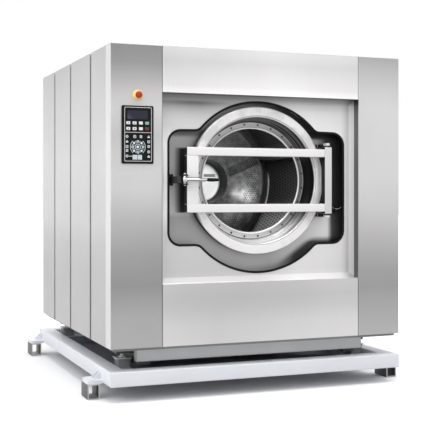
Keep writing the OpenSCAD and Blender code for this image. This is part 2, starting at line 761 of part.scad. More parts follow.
// outline of a belt's inner or outer face round both pulleys, radii grown by g
module belt_loop(g) {
    dx = motor_x;
    dz = motor_z - axis_z;
    dist = sqrt(dx * dx + dz * dz);
    a = pulley_r - groove_d + g;
    b = motor_pulley_r - groove_d + g;
    lean = acos((a - b) / dist);
    dir = atan2(dz, dx);
    circle(a, $fn = 144);
    translate([dx, dz]) circle(b);
    polygon([for (p = [[0, 0, a, lean], [dx, dz, b, lean], [dx, dz, b, -lean], [0, 0, a, -lean]])
        [p[0] + (p[2] - lap) * cos(dir + p[3]), p[1] + (p[2] - lap) * sin(dir + p[3])]]);
}

module drive_belts() color([0.07, 0.07, 0.07]) seat()
    for (k = [0:belt_n - 1]) {
        y = pulley_y + 6.5 + k * belt_pitch;
        slab_y(y, y + belt_w) translate([0, axis_z]) difference() {
            belt_loop(run_gap + belt_t);
            belt_loop(run_gap);
        }
    }

// drum

module drum_shell() color([0.66, 0.67, 0.68]) seat()
    turned(0, axis_z) {
        rect(drum_r, drum_front_y, drum_r + drum_wall, drum_rim_y);
        rect(drum_mouth_r, drum_front_y, drum_r + drum_wall, drum_front_y + drum_wall);
        translate([drum_mouth_r, drum_front_y + 5]) circle(7);
        translate([drum_r + drum_wall, drum_rim_y - 60]) circle(drum_wall * 0.8);
    }

// dished back with a flat face, a pot for the hub and three pressed arms
module drum_back() color([0.72, 0.73, 0.74]) seat() {
    t = drum_wall + 1;
    edge = drum_r;
    slope = [edge - back_flat_r, dish_d];
    turned(0, axis_z) polygon([[pot_r, dish_y], [back_flat_r, dish_y], [edge, drum_rim_y],
        [edge + drum_wall, drum_rim_y], [edge + drum_wall, drum_rim_y + t], [edge - 4, drum_rim_y + t],
        [back_flat_r - 4, dish_y + t], [pot_r + t, dish_y + t], [pot_r + t, pot_y + t], [0, pot_y + t],
        [0, pot_y], [pot_r, pot_y]]);
    translate([0, 0, axis_z]) for (k = [0:2]) rotate([0, -(rib_a + k * 120), 0])
        slab_y(dish_y - 9, dish_y + 1) rrect(pot_r + 12, -34, back_flat_r - 8, 34, 20);
}

// hollow-looking lifting ribs welded to the drum's wall
module drum_lifters() color([0.70, 0.71, 0.72]) seat() intersection() {
    turned(0, axis_z) polygon([[0, drum_front_y], [drum_r, drum_front_y], [drum_r, drum_rim_y - run_gap],
        [back_flat_r, dish_y - run_gap], [0, dish_y - run_gap]]);
    translate([0, 0, axis_z]) for (k = [0:rib_n - 1]) rotate([0, -(rib_a + k * 360 / rib_n), 0])
        slab_y(drum_front_y + drum_wall + 8, drum_rim_y) {
            tip_r = 22;
            tip_x = drum_r - rib_h + tip_r;
            polygon([[tip_x, -tip_r], [drum_r + 10, -66], [drum_r + 10, 66], [tip_x, tip_r]]);
            translate([tip_x, 0]) circle(tip_r);
        }
}

module drum_shaft() color([0.78, 0.78, 0.79]) seat() {
    back = pot_y + drum_wall + 1;
    turned(0, axis_z) polygon([[0, back], [pot_r - 12, back], [pot_r - 12, back + flange_t],
        [shaft_r + 10, back + flange_t], [shaft_r, back + flange_t + 6], [shaft_r, shaft_end - 4],
        [shaft_r - 4, shaft_end], [0, shaft_end]]);
}

// door

module bar(x0, z0, x1, z1, r = 5) slab_y(bar_y, bar_back) rrect(x0, z0, x1, z1, r);

// welded bar frame: two bars, the free upright, the hinge post, the pads that carry the ring
// and the latch's ears with their pin
module door_bars() color([0.90, 0.90, 0.90]) seat() {
    post_in = hinge_x - hinge_post_w / 2;
    post_low = axis_z - hinge_post_h / 2;
    post_top = axis_z + hinge_post_h / 2;
    pad_x = sqrt(pow((ring_r + ring_inner_r) / 2, 2) - pow((bar_frame_h - bar_h) / 2, 2));
    slab_x(-bar_free_x, post_in + 4) {
        rrect(bar_y, bar_top - bar_h, bar_back, bar_top, 5);
        rrect(bar_y, bar_low, bar_back, bar_low + bar_h, 5);
    }
    slab_z(bar_low + bar_h - 6, bar_top - bar_h + 6)
        rrect(-bar_free_x, bar_y, -bar_free_x + free_upright_w, bar_back, 5);
    difference() {
        slab_z(post_low, post_top) rrect(post_in, bar_y, post_in + hinge_post_w, bar_back, 6);
        rod_z(hinge_pin_r + pin_gap, post_low - eps, post_low + 60, hinge_x, hinge_y);
        rod_z(hinge_pin_r + pin_gap, post_top - 60, post_top + eps, hinge_x, hinge_y);
    }
    for (x = [-pad_x, pad_x], z = [bar_top - bar_h / 2, bar_low + bar_h / 2])
        slab_y(bar_back - eps, ring_y) rrect(x - 16, z - 15, x + 16, z + 15, 4);
    for (z = [axis_z - latch_h / 2 - ear_t, axis_z + latch_h / 2]) slab_z(z, z + ear_t) {
        translate([latch_x, latch_y]) circle(ear_r);
        polygon([[latch_x - ear_r, latch_y], [latch_x + ear_r * 0.7, latch_y - ear_r * 0.7],
            [-bar_free_x + 4, bar_y + 6], [-bar_free_x + 4, bar_back - 10],
            [-bar_free_x - 6, bar_back - 10]]);
    }
    rod_z(latch_pin_r, axis_z - latch_h / 2 - ear_t - 5, axis_z + latch_h / 2 + ear_t + 5, latch_x, latch_y);
}

// cast ring with a rounded outer edge, running into the dish and the window's seat
module door_ring() color([0.87, 0.87, 0.87]) seat() {
    edge_r = 10;
    seat_in = window_r + 8;
    wall = ring_t;
    glass_r = window_r + 13;
    turned(0, axis_z) {
        // face and outer wall
        rect(ring_inner_r, ring_y, ring_r - edge_r, ring_y + wall + 3);
        rect(ring_r - rim_w, ring_y + edge_r, ring_r, ring_back_y);
        difference() {
            translate([ring_r - edge_r, ring_y + edge_r]) circle(edge_r);
            rect(ring_r - 2 * edge_r - eps, ring_y + edge_r, ring_r + eps, ring_y + 3 * edge_r);
            rect(ring_r - 2 * edge_r - eps, ring_y - eps, ring_r - edge_r - eps, ring_y + 2 * edge_r);
        }
        rect(ring_r - rim_w, ring_y + wall, ring_r - edge_r, ring_y + edge_r + eps);
        // rolled inner lip and the dish's cone
        difference() {
            translate([ring_inner_r, ring_y + wall + 3]) circle(wall + 3);
            rect(ring_inner_r, ring_y + wall + 3, ring_inner_r + 40, ring_y + 30);
        }
        polygon([[ring_inner_r - wall, ring_y + wall], [ring_inner_r, ring_y + wall + 4],
            [clamp_r + 4 + wall, dish_end - wall], [clamp_r + 4 + wall, dish_end], [seat_in, dish_end],
            [seat_in, dish_end - ring_t], [glass_r + run_gap, dish_end - ring_t], [glass_r + run_gap, seat_y],
            [clamp_r + 4, seat_y], [clamp_r + 4, clamp_y]]);
    }
}

module window_ring() color([0.80, 0.80, 0.80]) seat() difference() {
    turned(0, axis_z) {
        rect(window_r, clamp_y, clamp_r, seat_y);
        translate([window_r + bead_r, clamp_y]) circle(bead_r);
    }
    bolt_places() rod_y(bolt_head_r * 0.6, clamp_y - eps, seat_y + eps);
}

module bolt_places() for (k = [0:bolt_n - 1])
    translate([bolt_circle_r * cos((k + 0.5) * 360 / bolt_n), 0,
        axis_z + bolt_circle_r * sin((k + 0.5) * 360 / bolt_n)]) children();

module window_bolts() color([0.45, 0.45, 0.46]) seat()
    bolt_places() difference() {
        union() {
            rod_y(bolt_head_r, clamp_y - 5, clamp_y);
            rod_y(bolt_head_r * 0.6, clamp_y - eps, seat_y);
        }
        translate([0, clamp_y - 6, 0]) rotate([-90, 0, 0]) cylinder(r = bolt_head_r * 0.5, h = 4, $fn = 6);
    }

module door_glass() color([0.35, 0.40, 0.42, 0.4]) seat()
    rod_y(window_r + 13, seat_y, seat_y + glass_t, 0, axis_z);

// welded lugs on the tub's plate that hold the hinge's pins
module hinge_brackets() color([0.55, 0.55, 0.56]) seat()
    for (s = [-1, 1]) {
        inner = axis_z + s * (hinge_post_h / 2 + run_gap);
        outer = inner + s * hinge_lug_t;
        head = outer + s * hinge_cap_t;
        tip = inner - s * 50;
        slab_z(min(inner, outer), max(inner, outer)) {
            translate([hinge_x, hinge_y]) circle(24);
            rect(hinge_x - 24, hinge_y, hinge_x + 24, tub_plate_y);
            rect(hinge_x - 31, tub_plate_y - 14, hinge_x + 31, tub_plate_y);
        }
        rod_z(hinge_pin_r, min(tip, outer), max(tip, outer), hinge_x, hinge_y);
        translate([hinge_x, hinge_y, min(outer, head)]) cylinder(r = 19, h = hinge_cap_t, $fn = 6);
    }

module latch_lever() color([0.85, 0.85, 0.86]) seat() {
    rod_end = lever_l - 74;
    difference() {
        union() {
            rod_z(hub_r, axis_z - latch_h / 2 + run_gap, axis_z + latch_h / 2 - run_gap, latch_x, latch_y);
            slab_z(axis_z - 14, axis_z + 14) translate([latch_x - 8, latch_y]) circle(cam_r - 8);
            translate([latch_x, latch_y, axis_z]) rotate([0, 90, 0]) rotate_extrude() polygon([[0, 0],
                [lever_r, 0], [lever_r, rod_end - 3], [lever_r - 3, rod_end], [5, rod_end],
                [5, lever_l - 12], [0, lever_l - 12]]);
        }
        rod_z(latch_pin_r + pin_gap, axis_z - latch_h, axis_z + latch_h, latch_x, latch_y);
    }
}

module latch_grip() color([0.06, 0.06, 0.07]) seat()
    translate([latch_x, latch_y, axis_z]) rotate([0, 90, 0]) rotate_extrude() difference() {
        polygon([[0, lever_l - 74], [8, lever_l - 74], [9.5, lever_l - 66], [9.5, lever_l - 40], [8.5, lever_l - 8],
            [5.5, lever_l - 2], [0, lever_l]]);
        rect(0, lever_l - 74 - eps, 5, lever_l - 12);
    }

// arm on the tub's plate whose side the lever's cam bears on
module latch_keeper() color([0.30, 0.30, 0.31]) seat() {
    slab_z(axis_z - 20, axis_z + 20) {
        rrect(keeper_x - 22, latch_y - 10, keeper_x, tub_plate_y, 4);
        rect(keeper_x - 22, tub_plate_y - 20, keeper_x, tub_plate_y);
    }
    box(keeper_x - 40, tub_plate_y - 8, axis_z - 34, keeper_x, tub_plate_y, axis_z + 34);
}

// small interlock switch under the hinge, with its wire feeler
module door_switch() color([0.10, 0.10, 0.11]) seat() {
    x = hinge_x + 62;
    z = axis_z - 176;
    box(x, tub_plate_y - 30, z - 22, x + 34, tub_plate_y, z + 22);
    rod_y(5, tub_plate_y - 52, tub_plate_y - 29, x + 17, z);
    translate([hinge_x + hinge_post_w / 2 + 2, tub_plate_y - 48, z]) rotate([0, 90, 0]) cylinder(r = 1.5, h = 60);
}

// controls

module control_box() color([0.35, 0.36, 0.38]) seat() {
    x0 = -post_x + 1;
    x1 = left_x - 24;
    difference() {
        slab_y(sheet, tub_plate_y - 12) rrect(x0, panel_z - 200, x1, panel_z + 270, 10);
        rod_y(stem_r + 1.5, sheet - eps, 40, estop_x, estop_z);
    }
}

module key_places(i) translate([panel_x + (i % 4 - 1.5) * key_pitch_x, 0,
    keys_z + (i < 4 ? 0.5 : -0.5) * key_pitch_z]) children();

module control_bezel() color([0.06, 0.06, 0.07]) seat() difference() {
    slab_y(-panel_t, 0) rrect(panel_x - panel_w / 2, panel_z - panel_h / 2, panel_x + panel_w / 2,
        panel_z + panel_h / 2, 7);
    slab_y(-panel_t - eps, eps) rrect(panel_x - display_w / 2, display_z - display_h / 2,
        panel_x + display_w / 2, display_z + display_h / 2, 2);
    for (i = [0:7]) key_places(i) slab_y(-panel_t - eps, eps)
        rrect(-key_w / 2 - run_gap, -key_h / 2 - run_gap, key_w / 2 + run_gap, key_h / 2 + run_gap, 3);
}

module display() color([0.20, 0.23, 0.32]) seat()
    slab_y(-panel_t + 1, 0) rrect(panel_x - display_w / 2, display_z - display_h / 2,
        panel_x + display_w / 2, display_z + display_h / 2, 2);

// colours of the keys: the last one of each row differs
key_colors = [[0.86, 0.86, 0.86], [0.86, 0.86, 0.86], [0.86, 0.86, 0.86], [0.43, 0.66, 0.58],
    [0.86, 0.86, 0.86], [0.86, 0.86, 0.86], [0.86, 0.86, 0.86], [0.52, 0.20, 0.18]];

module key(i) color(key_colors[i]) seat() key_places(i) {
    slab_y(-panel_t - 0.8, -key_travel - run_gap)
        rrect(-key_w / 2, -key_h / 2, key_w / 2, key_h / 2, 2.7);
    slab_y(-panel_t - 1.5, -panel_t) rrect(-key_w / 2 + 1, -key_h / 2 + 1, key_w / 2 - 1, key_h / 2 - 1, 2);
}

module estop_ring() color([0.96, 0.83, 0.20]) seat()
    turned(estop_x, estop_z) {
        rect(stem_r + run_gap, -2.5, estop_ring_r, 0);
        rect(stem_r + run_gap, -7, stem_r + 4, 0);
    }

module estop_button() color([0.75, 0.16, 0.13]) seat() {
    under = -estop_out + 16;
    turned(estop_x, estop_z) {
        rect(0, under - eps, stem_r, 24);
        polygon([[0, -estop_out], [estop_r * 0.45, -estop_out + 0.8], [estop_r * 0.78, -estop_out + 3],
            [estop_r * 0.95, -estop_out + 6.5], [estop_r, -estop_out + 10], [estop_r * 0.97, under - 2],
            [estop_r * 0.88, under], [0, under]]);
    }
}

// plumbing

// solenoid valves on the rear wall: hose stub, body, coil and pipe into the tub's back
module water_valves() color([0.62, 0.60, 0.52]) seat()
    for (x = inlet_x) {
        turned(x, inlet_z) polygon([[0, housing_y], [inlet_r - 3 - run_gap, housing_y],
            [inlet_r - 3 - run_gap, cab_d - 60], [inlet_r, cab_d - 60], [inlet_r, cab_d + run_gap],
            [inlet_r + 8, cab_d + run_gap], [inlet_r + 8, cab_d + 8], [inlet_r, cab_d + 8], [inlet_r, cab_d + inlet_out - 3],
            [inlet_r - 3, cab_d + inlet_out], [inlet_r - 6, cab_d + inlet_out], [inlet_r - 6, cab_d + 8],
            [0, cab_d + 8]]);
        box(x - inlet_r - 9, cab_d - 90, inlet_z - inlet_r - 9, x + inlet_r + 9, cab_d - sheet, inlet_z + inlet_r + 9);
        rod_z(inlet_r - 1, inlet_z, inlet_z + 84, x, cab_d - 46);
    }

// tub outlet, dump valve and the pipe to the rear
module drain_line() color([0.45, 0.46, 0.47]) seat() {
    valve_top = drain_z + drain_r + 26;
    end_y = cab_d + drain_out;
    difference() {
        union() {
            rod_z(drain_r, valve_top - 4, axis_z - tub_r - tub_wall - 1, 0, drain_y);
            rod_z(drain_r + 16, valve_top - 4, valve_top + 12, 0, drain_y);
            box(-drain_r - 14, drain_y - drain_r - 14, drain_z - drain_r - 14, drain_r + 14,
                drain_y + drain_r + 14, valve_top);
            rod_y(drain_r, drain_y, end_y, 0, drain_z);
            rod_y(drain_r + 9, cab_d + run_gap, cab_d + 10, 0, drain_z);
            // actuator
            translate([-drain_r - 14, drain_y, drain_z]) rotate([0, -90, 0]) cylinder(r = 34, h = 90);
        }
        rod_y(drain_r - 4, drain_y, end_y + eps, 0, drain_z);
        rod_z(drain_r - 4, drain_z, axis_z - tub_r, 0, drain_y);
    }
    // collar that meets the tub's wall
    difference() {
        rod_z(drain_r + 10, axis_z - tub_r - tub_wall - 22, axis_z - tub_r, 0, drain_y);
        rod_z(drain_r - 4, axis_z - tub_r - 60, axis_z, 0, drain_y);
        rod_y(tub_r + tub_wall, tub_front_y, tub_back_y, 0, axis_z);
    }
}

base_frame();
foot_brackets();
feet();
isolators();
isolator_beams();
under_frame();
front_cross_beam();
cabinet_frame();
left_front_column();
right_front_column();
upper_front_panel();
lower_front_panel();
recess_panel();
cutout_edging();
left_side_panels();
right_side_panels();
top_panels();
rear_panel();
tub_shell();
tub_front_plate();
tub_back_plate();
tub_saddles();
door_gasket();
bearing_housing();
shaft_bearings();
shaft_seal();
motor();
motor_base();
drive_belts();
hinge_brackets();
latch_keeper();
door_switch();
control_box();
control_bezel();
display();
estop_ring();
water_valves();
drain_line();
drum_shell();
drum_back();
drum_lifters();
drum_shaft();
drum_pulley();
motor_pulley();
door_bars();
door_ring();
window_ring();
door_glass();
window_bolts();
latch_lever();
latch_grip();
estop_button();
key(0);  // key_1
key(1);  // key_2
key(2);  // key_3
key(3);  // key_4
key(4);  // key_5
key(5);  // key_6
key(6);  // key_7
key(7);  // key_8
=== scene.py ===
import bpy
import math
import mathutils
import numpy as np
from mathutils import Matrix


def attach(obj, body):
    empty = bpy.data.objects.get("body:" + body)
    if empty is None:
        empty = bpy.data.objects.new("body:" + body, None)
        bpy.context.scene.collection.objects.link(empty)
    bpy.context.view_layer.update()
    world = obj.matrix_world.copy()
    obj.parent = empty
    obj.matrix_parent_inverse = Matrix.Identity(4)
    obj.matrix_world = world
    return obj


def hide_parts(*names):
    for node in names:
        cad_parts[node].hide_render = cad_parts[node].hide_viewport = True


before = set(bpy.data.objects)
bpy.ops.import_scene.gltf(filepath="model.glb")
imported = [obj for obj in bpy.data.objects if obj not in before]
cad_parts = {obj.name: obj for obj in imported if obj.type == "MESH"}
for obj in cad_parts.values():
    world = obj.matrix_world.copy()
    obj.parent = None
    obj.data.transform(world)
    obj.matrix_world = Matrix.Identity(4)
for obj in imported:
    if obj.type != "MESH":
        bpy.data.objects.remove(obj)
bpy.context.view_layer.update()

# Studio: a pale floor that runs out to white, a soft surround that is brightest overhead, large soft
# lights on the left and overhead, and a small one in the drum. The camera is level, left of the
# machine. Lengths are millimetres from the cabinet's front edge.
MIDDLE_Y, BASE_HEIGHT = 983.0, 310.0
PICTURE_PX, FOCAL_PX, RAISED_PX, SENSOR_MM = 430, 1000.5, 21.9, 36.0
EYE_PLACE, EYE_TURN = (-2418, -5431, 878), 21.26
WHITE, FLOOR_SEEN, FLOOR_LIGHT = (1, 1, 1, 1), (0.94, 0.94, 0.95, 1), (0.62, 0.62, 0.62, 1)
FAR = 40
tree = where = None


def placed(points):
    """Millimetres in the cabinet's own frame to metres on the floor: y less the middle depth, z
    plus the height of the base, all divided by a thousand."""
    p = np.asarray(points, float)
    return (p + [0.0, -MIDDLE_Y, BASE_HEIGHT]) / 1000.0


def begin(owner):
    """Empties the node tree of a material or of the world. The nodes that follow go into it."""
    global tree
    owner.use_nodes = True
    tree = owner.node_tree
    tree.nodes.clear()
    return owner


def add(kind, wires=(), **settings):
    """One shader node. A wire is (input, value), where the value may be another node's output."""
    made = tree.nodes.new("ShaderNode" + kind)
    for key, value in settings.items():
        setattr(made, key, value)
    for socket, value in wires:
        if isinstance(value, bpy.types.NodeSocket):
            tree.links.new(value, made.inputs[socket])
        else:
            made.inputs[socket].default_value = value
    return made


def calc(kind, *values):
    """Arithmetic on values."""
    return add("Math", enumerate(values), operation=kind).outputs[0]


def vector(kind, *values):
    """Arithmetic on vectors, which gives a number for a length or a dot product."""
    made = add("VectorMath", enumerate(values), operation=kind)
    return made.outputs["Value" if kind in ("LENGTH", "DOT_PRODUCT") else "Vector"]


def parts(value):
    """The x, y and z of a vector."""
    return add("SeparateXYZ", [(0, value)]).outputs


def ranged(value, low, high, start=0.3, end=0.7, smooth=False):
    """A value between start and end mapped to low..high."""
    wires = [("Value", value), ("From Min", start), ("From Max", end), ("To Min", low), ("To Max", high)]
    return add("MapRange", wires, interpolation_type="SMOOTHSTEP" if smooth else "LINEAR").outputs[0]


scene = bpy.context.scene
scene.view_settings.view_transform = "Standard"

eye = bpy.data.cameras.new("camera")
eye.sensor_width = SENSOR_MM
eye.lens = SENSOR_MM * FOCAL_PX / PICTURE_PX
eye.shift_y = -RAISED_PX / PICTURE_PX
eye.clip_end = 100.0
camera = bpy.data.objects.new("camera", eye)
scene.collection.objects.link(camera)
camera.location = placed(EYE_PLACE)
camera.rotation_euler = (math.pi / 2, 0, -math.radians(EYE_TURN))
scene.camera = camera

scene.world = begin(bpy.data.worlds.new("soft_surround"))
ray = add("LightPath").outputs
seen_white = calc("MAXIMUM", ray["Is Camera Ray"], ray["Is Transmission Ray"])
upward = parts(add("TexCoord").outputs["Generated"])[2]
surround = ranged(upward, 0.82, 1.12, 0.10, 0.80)
even = add("Background", [("Color", WHITE), ("Strength", surround)])
plain = add("Background", [("Color", WHITE), ("Strength", 1.0)])
either = add("MixShader", [(0, seen_white), (1, even.outputs[0]), (2, plain.outputs[0])])
add("OutputWorld", [("Surface", either.outputs[0])])

for label, place, size, power, aim, hidden in (
        ("soft_left", (-5200, -3600, 3600), 3.4, 90, (0, 600, 800), False),
        ("soft_top", (0, -900, 5200), 4.2, 200, (0, 500, 900), False),
        ("in_the_drum", (30, 300, 1250), 0.35, 9.0, (60, 1000, 900), True)):
    lamp = bpy.data.lights.new(label, "AREA")
    lamp.shape, lamp.size, lamp.energy = "SQUARE", size, power
    holder = bpy.data.objects.new(label, lamp)
    scene.collection.objects.link(holder)
    holder.location = placed(place)
    holder.rotation_mode = "QUATERNION"
    holder.rotation_quaternion = mathutils.Vector(placed(aim) - placed(place)).to_track_quat("-Z", "Y")
    holder.visible_camera = not hidden

floor_finish = begin(bpy.data.materials.new("pale_floor"))
to_eye = add("LightPath").outputs["Is Camera Ray"]
reach = vector("LENGTH", add("TexCoord").outputs["Object"])
fill = calc("MULTIPLY", ranged(reach, 0.03, 0.40, 1.5, 4.5), to_eye)
pale = add("MixRGB", [(0, to_eye), (1, FLOOR_LIGHT), (2, FLOOR_SEEN)]).outputs[0]
lit = add("BsdfDiffuse", [("Color", pale)])
own = add("Emission", [("Color", WHITE), ("Strength", fill)])
both = add("AddShader", [(0, lit.outputs[0]), (1, own.outputs[0])])
add("OutputMaterial", [("Surface", both.outputs[0])])
floor_mesh = bpy.data.meshes.new("floor")
floor_mesh.from_pydata([(-FAR, -FAR, 0), (FAR, -FAR, 0), (FAR, FAR, 0), (-FAR, FAR, 0)], [], [(0, 1, 2, 3)])
floor = bpy.data.objects.new("floor", floor_mesh)
scene.collection.objects.link(floor)
floor.data.materials.append(floor_finish)

# Base frame: four square-section steel beams mitred and welded into a ring, ground flush at the
# corners and sprayed in bluish white enamel. It carries the machine on its isolators.
HALF_W, BEAM_W, BASE_L = 932.0, 98.0, 2000.0
BASE_TOP, BASE_LOW, BASE_EASE = -130.0, -215.0, 7


def eased(corners, ease, steps=5):
    """A closed outline with its corners rounded: each corner gives way to a quadratic curve between
    the points that lie a distance ease before and after it, or less where an edge is short."""
    c = np.asarray(corners, float)
    before, after = np.roll(c, 1, 0) - c, np.roll(c, -1, 0) - c
    lb, la = np.linalg.norm(before, axis=1), np.linalg.norm(after, axis=1)
    e = np.broadcast_to(np.asarray(ease, float), lb.shape)
    cut = np.minimum(e, 0.46 * np.minimum(lb, la))[:, None]
    start, end = c + before / lb[:, None] * cut, c + after / la[:, None] * cut
    s = np.linspace(0, 1, steps)[None, :, None]
    curve = (1 - s) ** 2 * start[:, None] + 2 * s * (1 - s) * c[:, None] + s ** 2 * end[:, None]
    return curve.reshape(-1, c.shape[1])


def oblong(x0, z0, x1, z1, ease, steps=5):
    """A rectangle from corner to corner with rounded corners."""
    return eased([(x0, z0), (x1, z0), (x1, z1), (x0, z1)], ease, steps)


def outward(points, faces):
    """Turns all faces round when the volume that they enclose comes out negative."""
    p = np.asarray(points, float)
    middle = p.mean(0)
    volume = 0.0
    for size in {len(f) for f in faces}:
        f = p[np.array([f for f in faces if len(f) == size])] - middle
        for k in range(1, size - 1):
            volume += np.einsum("ij,ij->", np.cross(f[:, 0], f[:, k]), f[:, k + 1])
    return [f[::-1] for f in faces] if volume < 0 else faces


def skin(grid, closed_u=True, closed_v=False, capped=False):
    """Points on a grid of u by v joined into quads, with the last row joined to the first where the
    grid closes. capped fills the first and last ring along v. Closed skins face outwards."""
    g = np.asarray(grid, float)
    nu, nv = g.shape[:2]
    u, v = np.arange(nu if closed_u else nu - 1), np.arange(nv if closed_v else nv - 1)
    a, b = np.meshgrid(u, v, indexing="ij")
    a2, b2 = (a + 1) % nu, (b + 1) % nv
    quads = np.stack([a * nv + b, a2 * nv + b, a2 * nv + b2, a * nv + b2], -1).reshape(-1, 4)
    faces = [tuple(q) for q in quads.tolist()]
    if capped:
        ring = np.arange(nu) * nv
        faces += [tuple(ring.tolist()[::-1]), tuple((ring + nv - 1).tolist())]
    p = g.reshape(-1, 3)
    return p, outward(p, faces) if capped or (closed_u and closed_v) else faces


def piece(name, skins, finish, body, stands_for=(), sharp=35):
    """Joins skins into one object with its place in its mesh, shades it smooth up to a sharp angle
    in degrees, and says what it rides on and which plain solids it stands for."""
    points, faces, shift = [], [], 0
    for p, f in skins:
        points.append(placed(p))
        faces += [tuple(i + shift for i in one) for one in f]
        shift += len(p)
    mesh = bpy.data.meshes.new(name)
    mesh.from_pydata(np.concatenate(points).tolist(), [], faces)
    mesh.shade_smooth()
    mesh.set_sharp_from_angle(angle=math.radians(sharp))
    made = bpy.data.objects.new(name, mesh)
    scene.collection.objects.link(made)
    made.data.materials.append(finish)
    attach(made, body)
    if stands_for:
        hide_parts(*stands_for)


def new_finish(name, rough=0.5, metal=0.0, edge=1.5):
    """Starts a material with one shader and a softened-edge normal of that radius in millimetres,
    and sets where to its object coordinates. Returns the material and its shader."""
    global where
    finish = begin(bpy.data.materials.new(name))
    shader = add("BsdfPrincipled", [("Roughness", rough), ("Metallic", metal)])
    add("OutputMaterial", [("Surface", shader.outputs[0])])
    where = add("TexCoord").outputs["Object"]
    if edge:
        soft = add("Bevel", [("Radius", edge / 1000)], samples=4)
        tree.links.new(soft.outputs[0], shader.inputs["Normal"])
    return finish, shader


def noise(place, detail=2.0, rough=0.5):
    """Noise with one feature for each unit of the place."""
    wires = [("Vector", place), ("Scale", 1.0), ("Detail", detail), ("Roughness", rough)]
    return add("TexNoise", wires).outputs["Fac"]


def patterned(scale, detail=3.0, rough=0.55):
    """Noise on object coordinates stretched by a scale in features per metre along x, y and z."""
    return noise(add("Mapping", [("Vector", where), ("Scale", scale)]).outputs[0], detail, rough)


def times(*factors):
    """The product of values."""
    total = factors[0]
    for factor in factors[1:]:
        total = calc("MULTIPLY", total, factor)
    return total


def bumped(shader, height, distance, strength=1.0):
    """Puts a height pattern on top of whatever normal the shader already has."""
    normal = shader.inputs["Normal"]
    bump = add("Bump", [("Height", height), ("Distance", distance / 1000), ("Strength", strength)])
    if normal.links:
        tree.links.new(normal.links[0].from_socket, bump.inputs["Normal"])
    tree.links.new(bump.outputs[0], normal)


def along(axis, stops, of=None):
    """A value that follows stops (place in mm, value) along axis 0, 1 or 2, which is x, y or z in the
    cabinet's own frame, and stays level beyond the first and the last of them."""
    shift = (0.0, -MIDDLE_Y, BASE_HEIGHT)[axis]
    start, end = stops[0][0], stops[-1][0]
    level = ranged(parts(of or where)[axis], 0.0, 1.0, (start + shift) / 1000, (end + shift) / 1000)
    ramp = add("ValToRGB", [(0, level)])
    marks = ramp.color_ramp.elements
    while len(marks) < len(stops):
        marks.new(0.5)
    for mark, (place, value) in zip(marks, stops):
        mark.position = (place - start) / (end - start)
    for mark, (place, value) in zip(marks, stops):
        mark.color = (value, value, value, 1)
    return add("SeparateColor", [(0, ramp.outputs[0])]).outputs[0]


def toward(direction, low, high, start, end):
    """A value that goes from low to high as the surface turns to look the given way."""
    normal = add("TexCoord").outputs["Normal"]
    return ranged(vector("DOT_PRODUCT", normal, direction), low, high, start, end, True)


def facing(direction, factor):
    """A factor for the faces that look a given way in the object's own frame, 1 for all others."""
    return toward(direction, 1.0, factor, 0.70, 0.95)


def blended(factor, low, high):
    """One value where the factor is 0, the other where it is 1."""
    low, high = [(v, v, v, 1) if isinstance(v, float) else v for v in (low, high)]
    mixed = add("MixRGB", [(0, factor), (1, low), (2, high)]).outputs[0]
    return add("SeparateColor", [(0, mixed)]).outputs[0]


def coloured(shader, colour, factor):
    """Gives the shader a colour multiplied by a value."""
    tree.links.new(vector("MULTIPLY", colour, factor), shader.inputs["Base Color"])


def enamel(name, colour, rough=0.32, peel=0.06, wear=0.05, metal=0.0, tone=None, shine=0.5):
    """Sprayed enamel or moulded plastic: a faint orange-peel bump, slow drift of tone and dull
    handling marks. tone, if given, returns a further factor for the colour."""
    finish, shader = new_finish(name, rough, metal)
    shader.inputs["Specular IOR Level"].default_value = shine
    drift = ranged(patterned((3, 3, 5)), 1 - wear, 1 + wear * 0.4)
    coloured(shader, colour, times(drift, tone()) if tone else drift)
    marks = patterned((9, 9, 16))
    tree.links.new(ranged(marks, rough - 0.05, rough + 0.10), shader.inputs["Roughness"])
    bumped(shader, patterned((260, 260, 260), 2), peel)
    return finish


def beam_painted_light():
    """Painted light: sides that face the light on the left are lighter, faces that look forward a little
    darker, and the top face is lighter, with painted shade that darkens it forward.
    """
    forward = along(1, [(0, 0.92), (300, 1.30), (1200, 1.38)])
    up = blended(facing((0, 0, 1), 0.0), forward, 1.0)
    return times(up, facing((-1, 0, 0), 1.25), facing((0, -1, 0), 0.93))


white_enamel = enamel("white_enamel", (0.69, 0.71, 0.75), peel=0.01, wear=0.03, tone=beam_painted_light)


def beam_ring(half_x, y0, y1, z0, z1, width, ease):
    """A beam's section carried round a rectangle: each point of the section keeps its height and its
    distance in from the ring's outer face, at each of the four mitred corners."""
    section = oblong(0, z0, width, z1, ease)
    inset, level = section[:, 0], section[:, 1]
    x = np.stack([-half_x + inset, half_x - inset, half_x - inset, -half_x + inset], 1)
    y = np.stack([y0 + inset, y0 + inset, y1 - inset, y1 - inset], 1)
    z = np.broadcast_to(level[:, None], x.shape)
    return skin(np.stack([x, y, z], -1), True, True)


beams = beam_ring(HALF_W, 0, BASE_L, BASE_LOW, BASE_TOP, BEAM_W, BASE_EASE)
piece("base_frame_beams", [beams], white_enamel, "machine", ["base_frame"])

# Foot brackets: plates with a rounded outer end, welded to the base frame's sides over the feet
# and stiffened by two triangular gussets. Same white enamel, with the weld beads left showing.
FOOT_TOP, FOOT_X, FOOT_W, FOOT_L, FOOT_Y = -220.0, 948.0, 72.0, 150.0, (175.0, 1850.0)
BRACKET_TOP, GUSSETS, GUSSET_W = FOOT_TOP + 20, (0.26, 0.68), 9.0


def dress(finish, *nodes):
    """Puts a finish on CAD nodes whose shape is kept."""
    for name in nodes:
        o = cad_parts[name]
        for place in o.material_slots:
            place.material = finish
        if not o.material_slots:
            o.data.materials.append(finish)


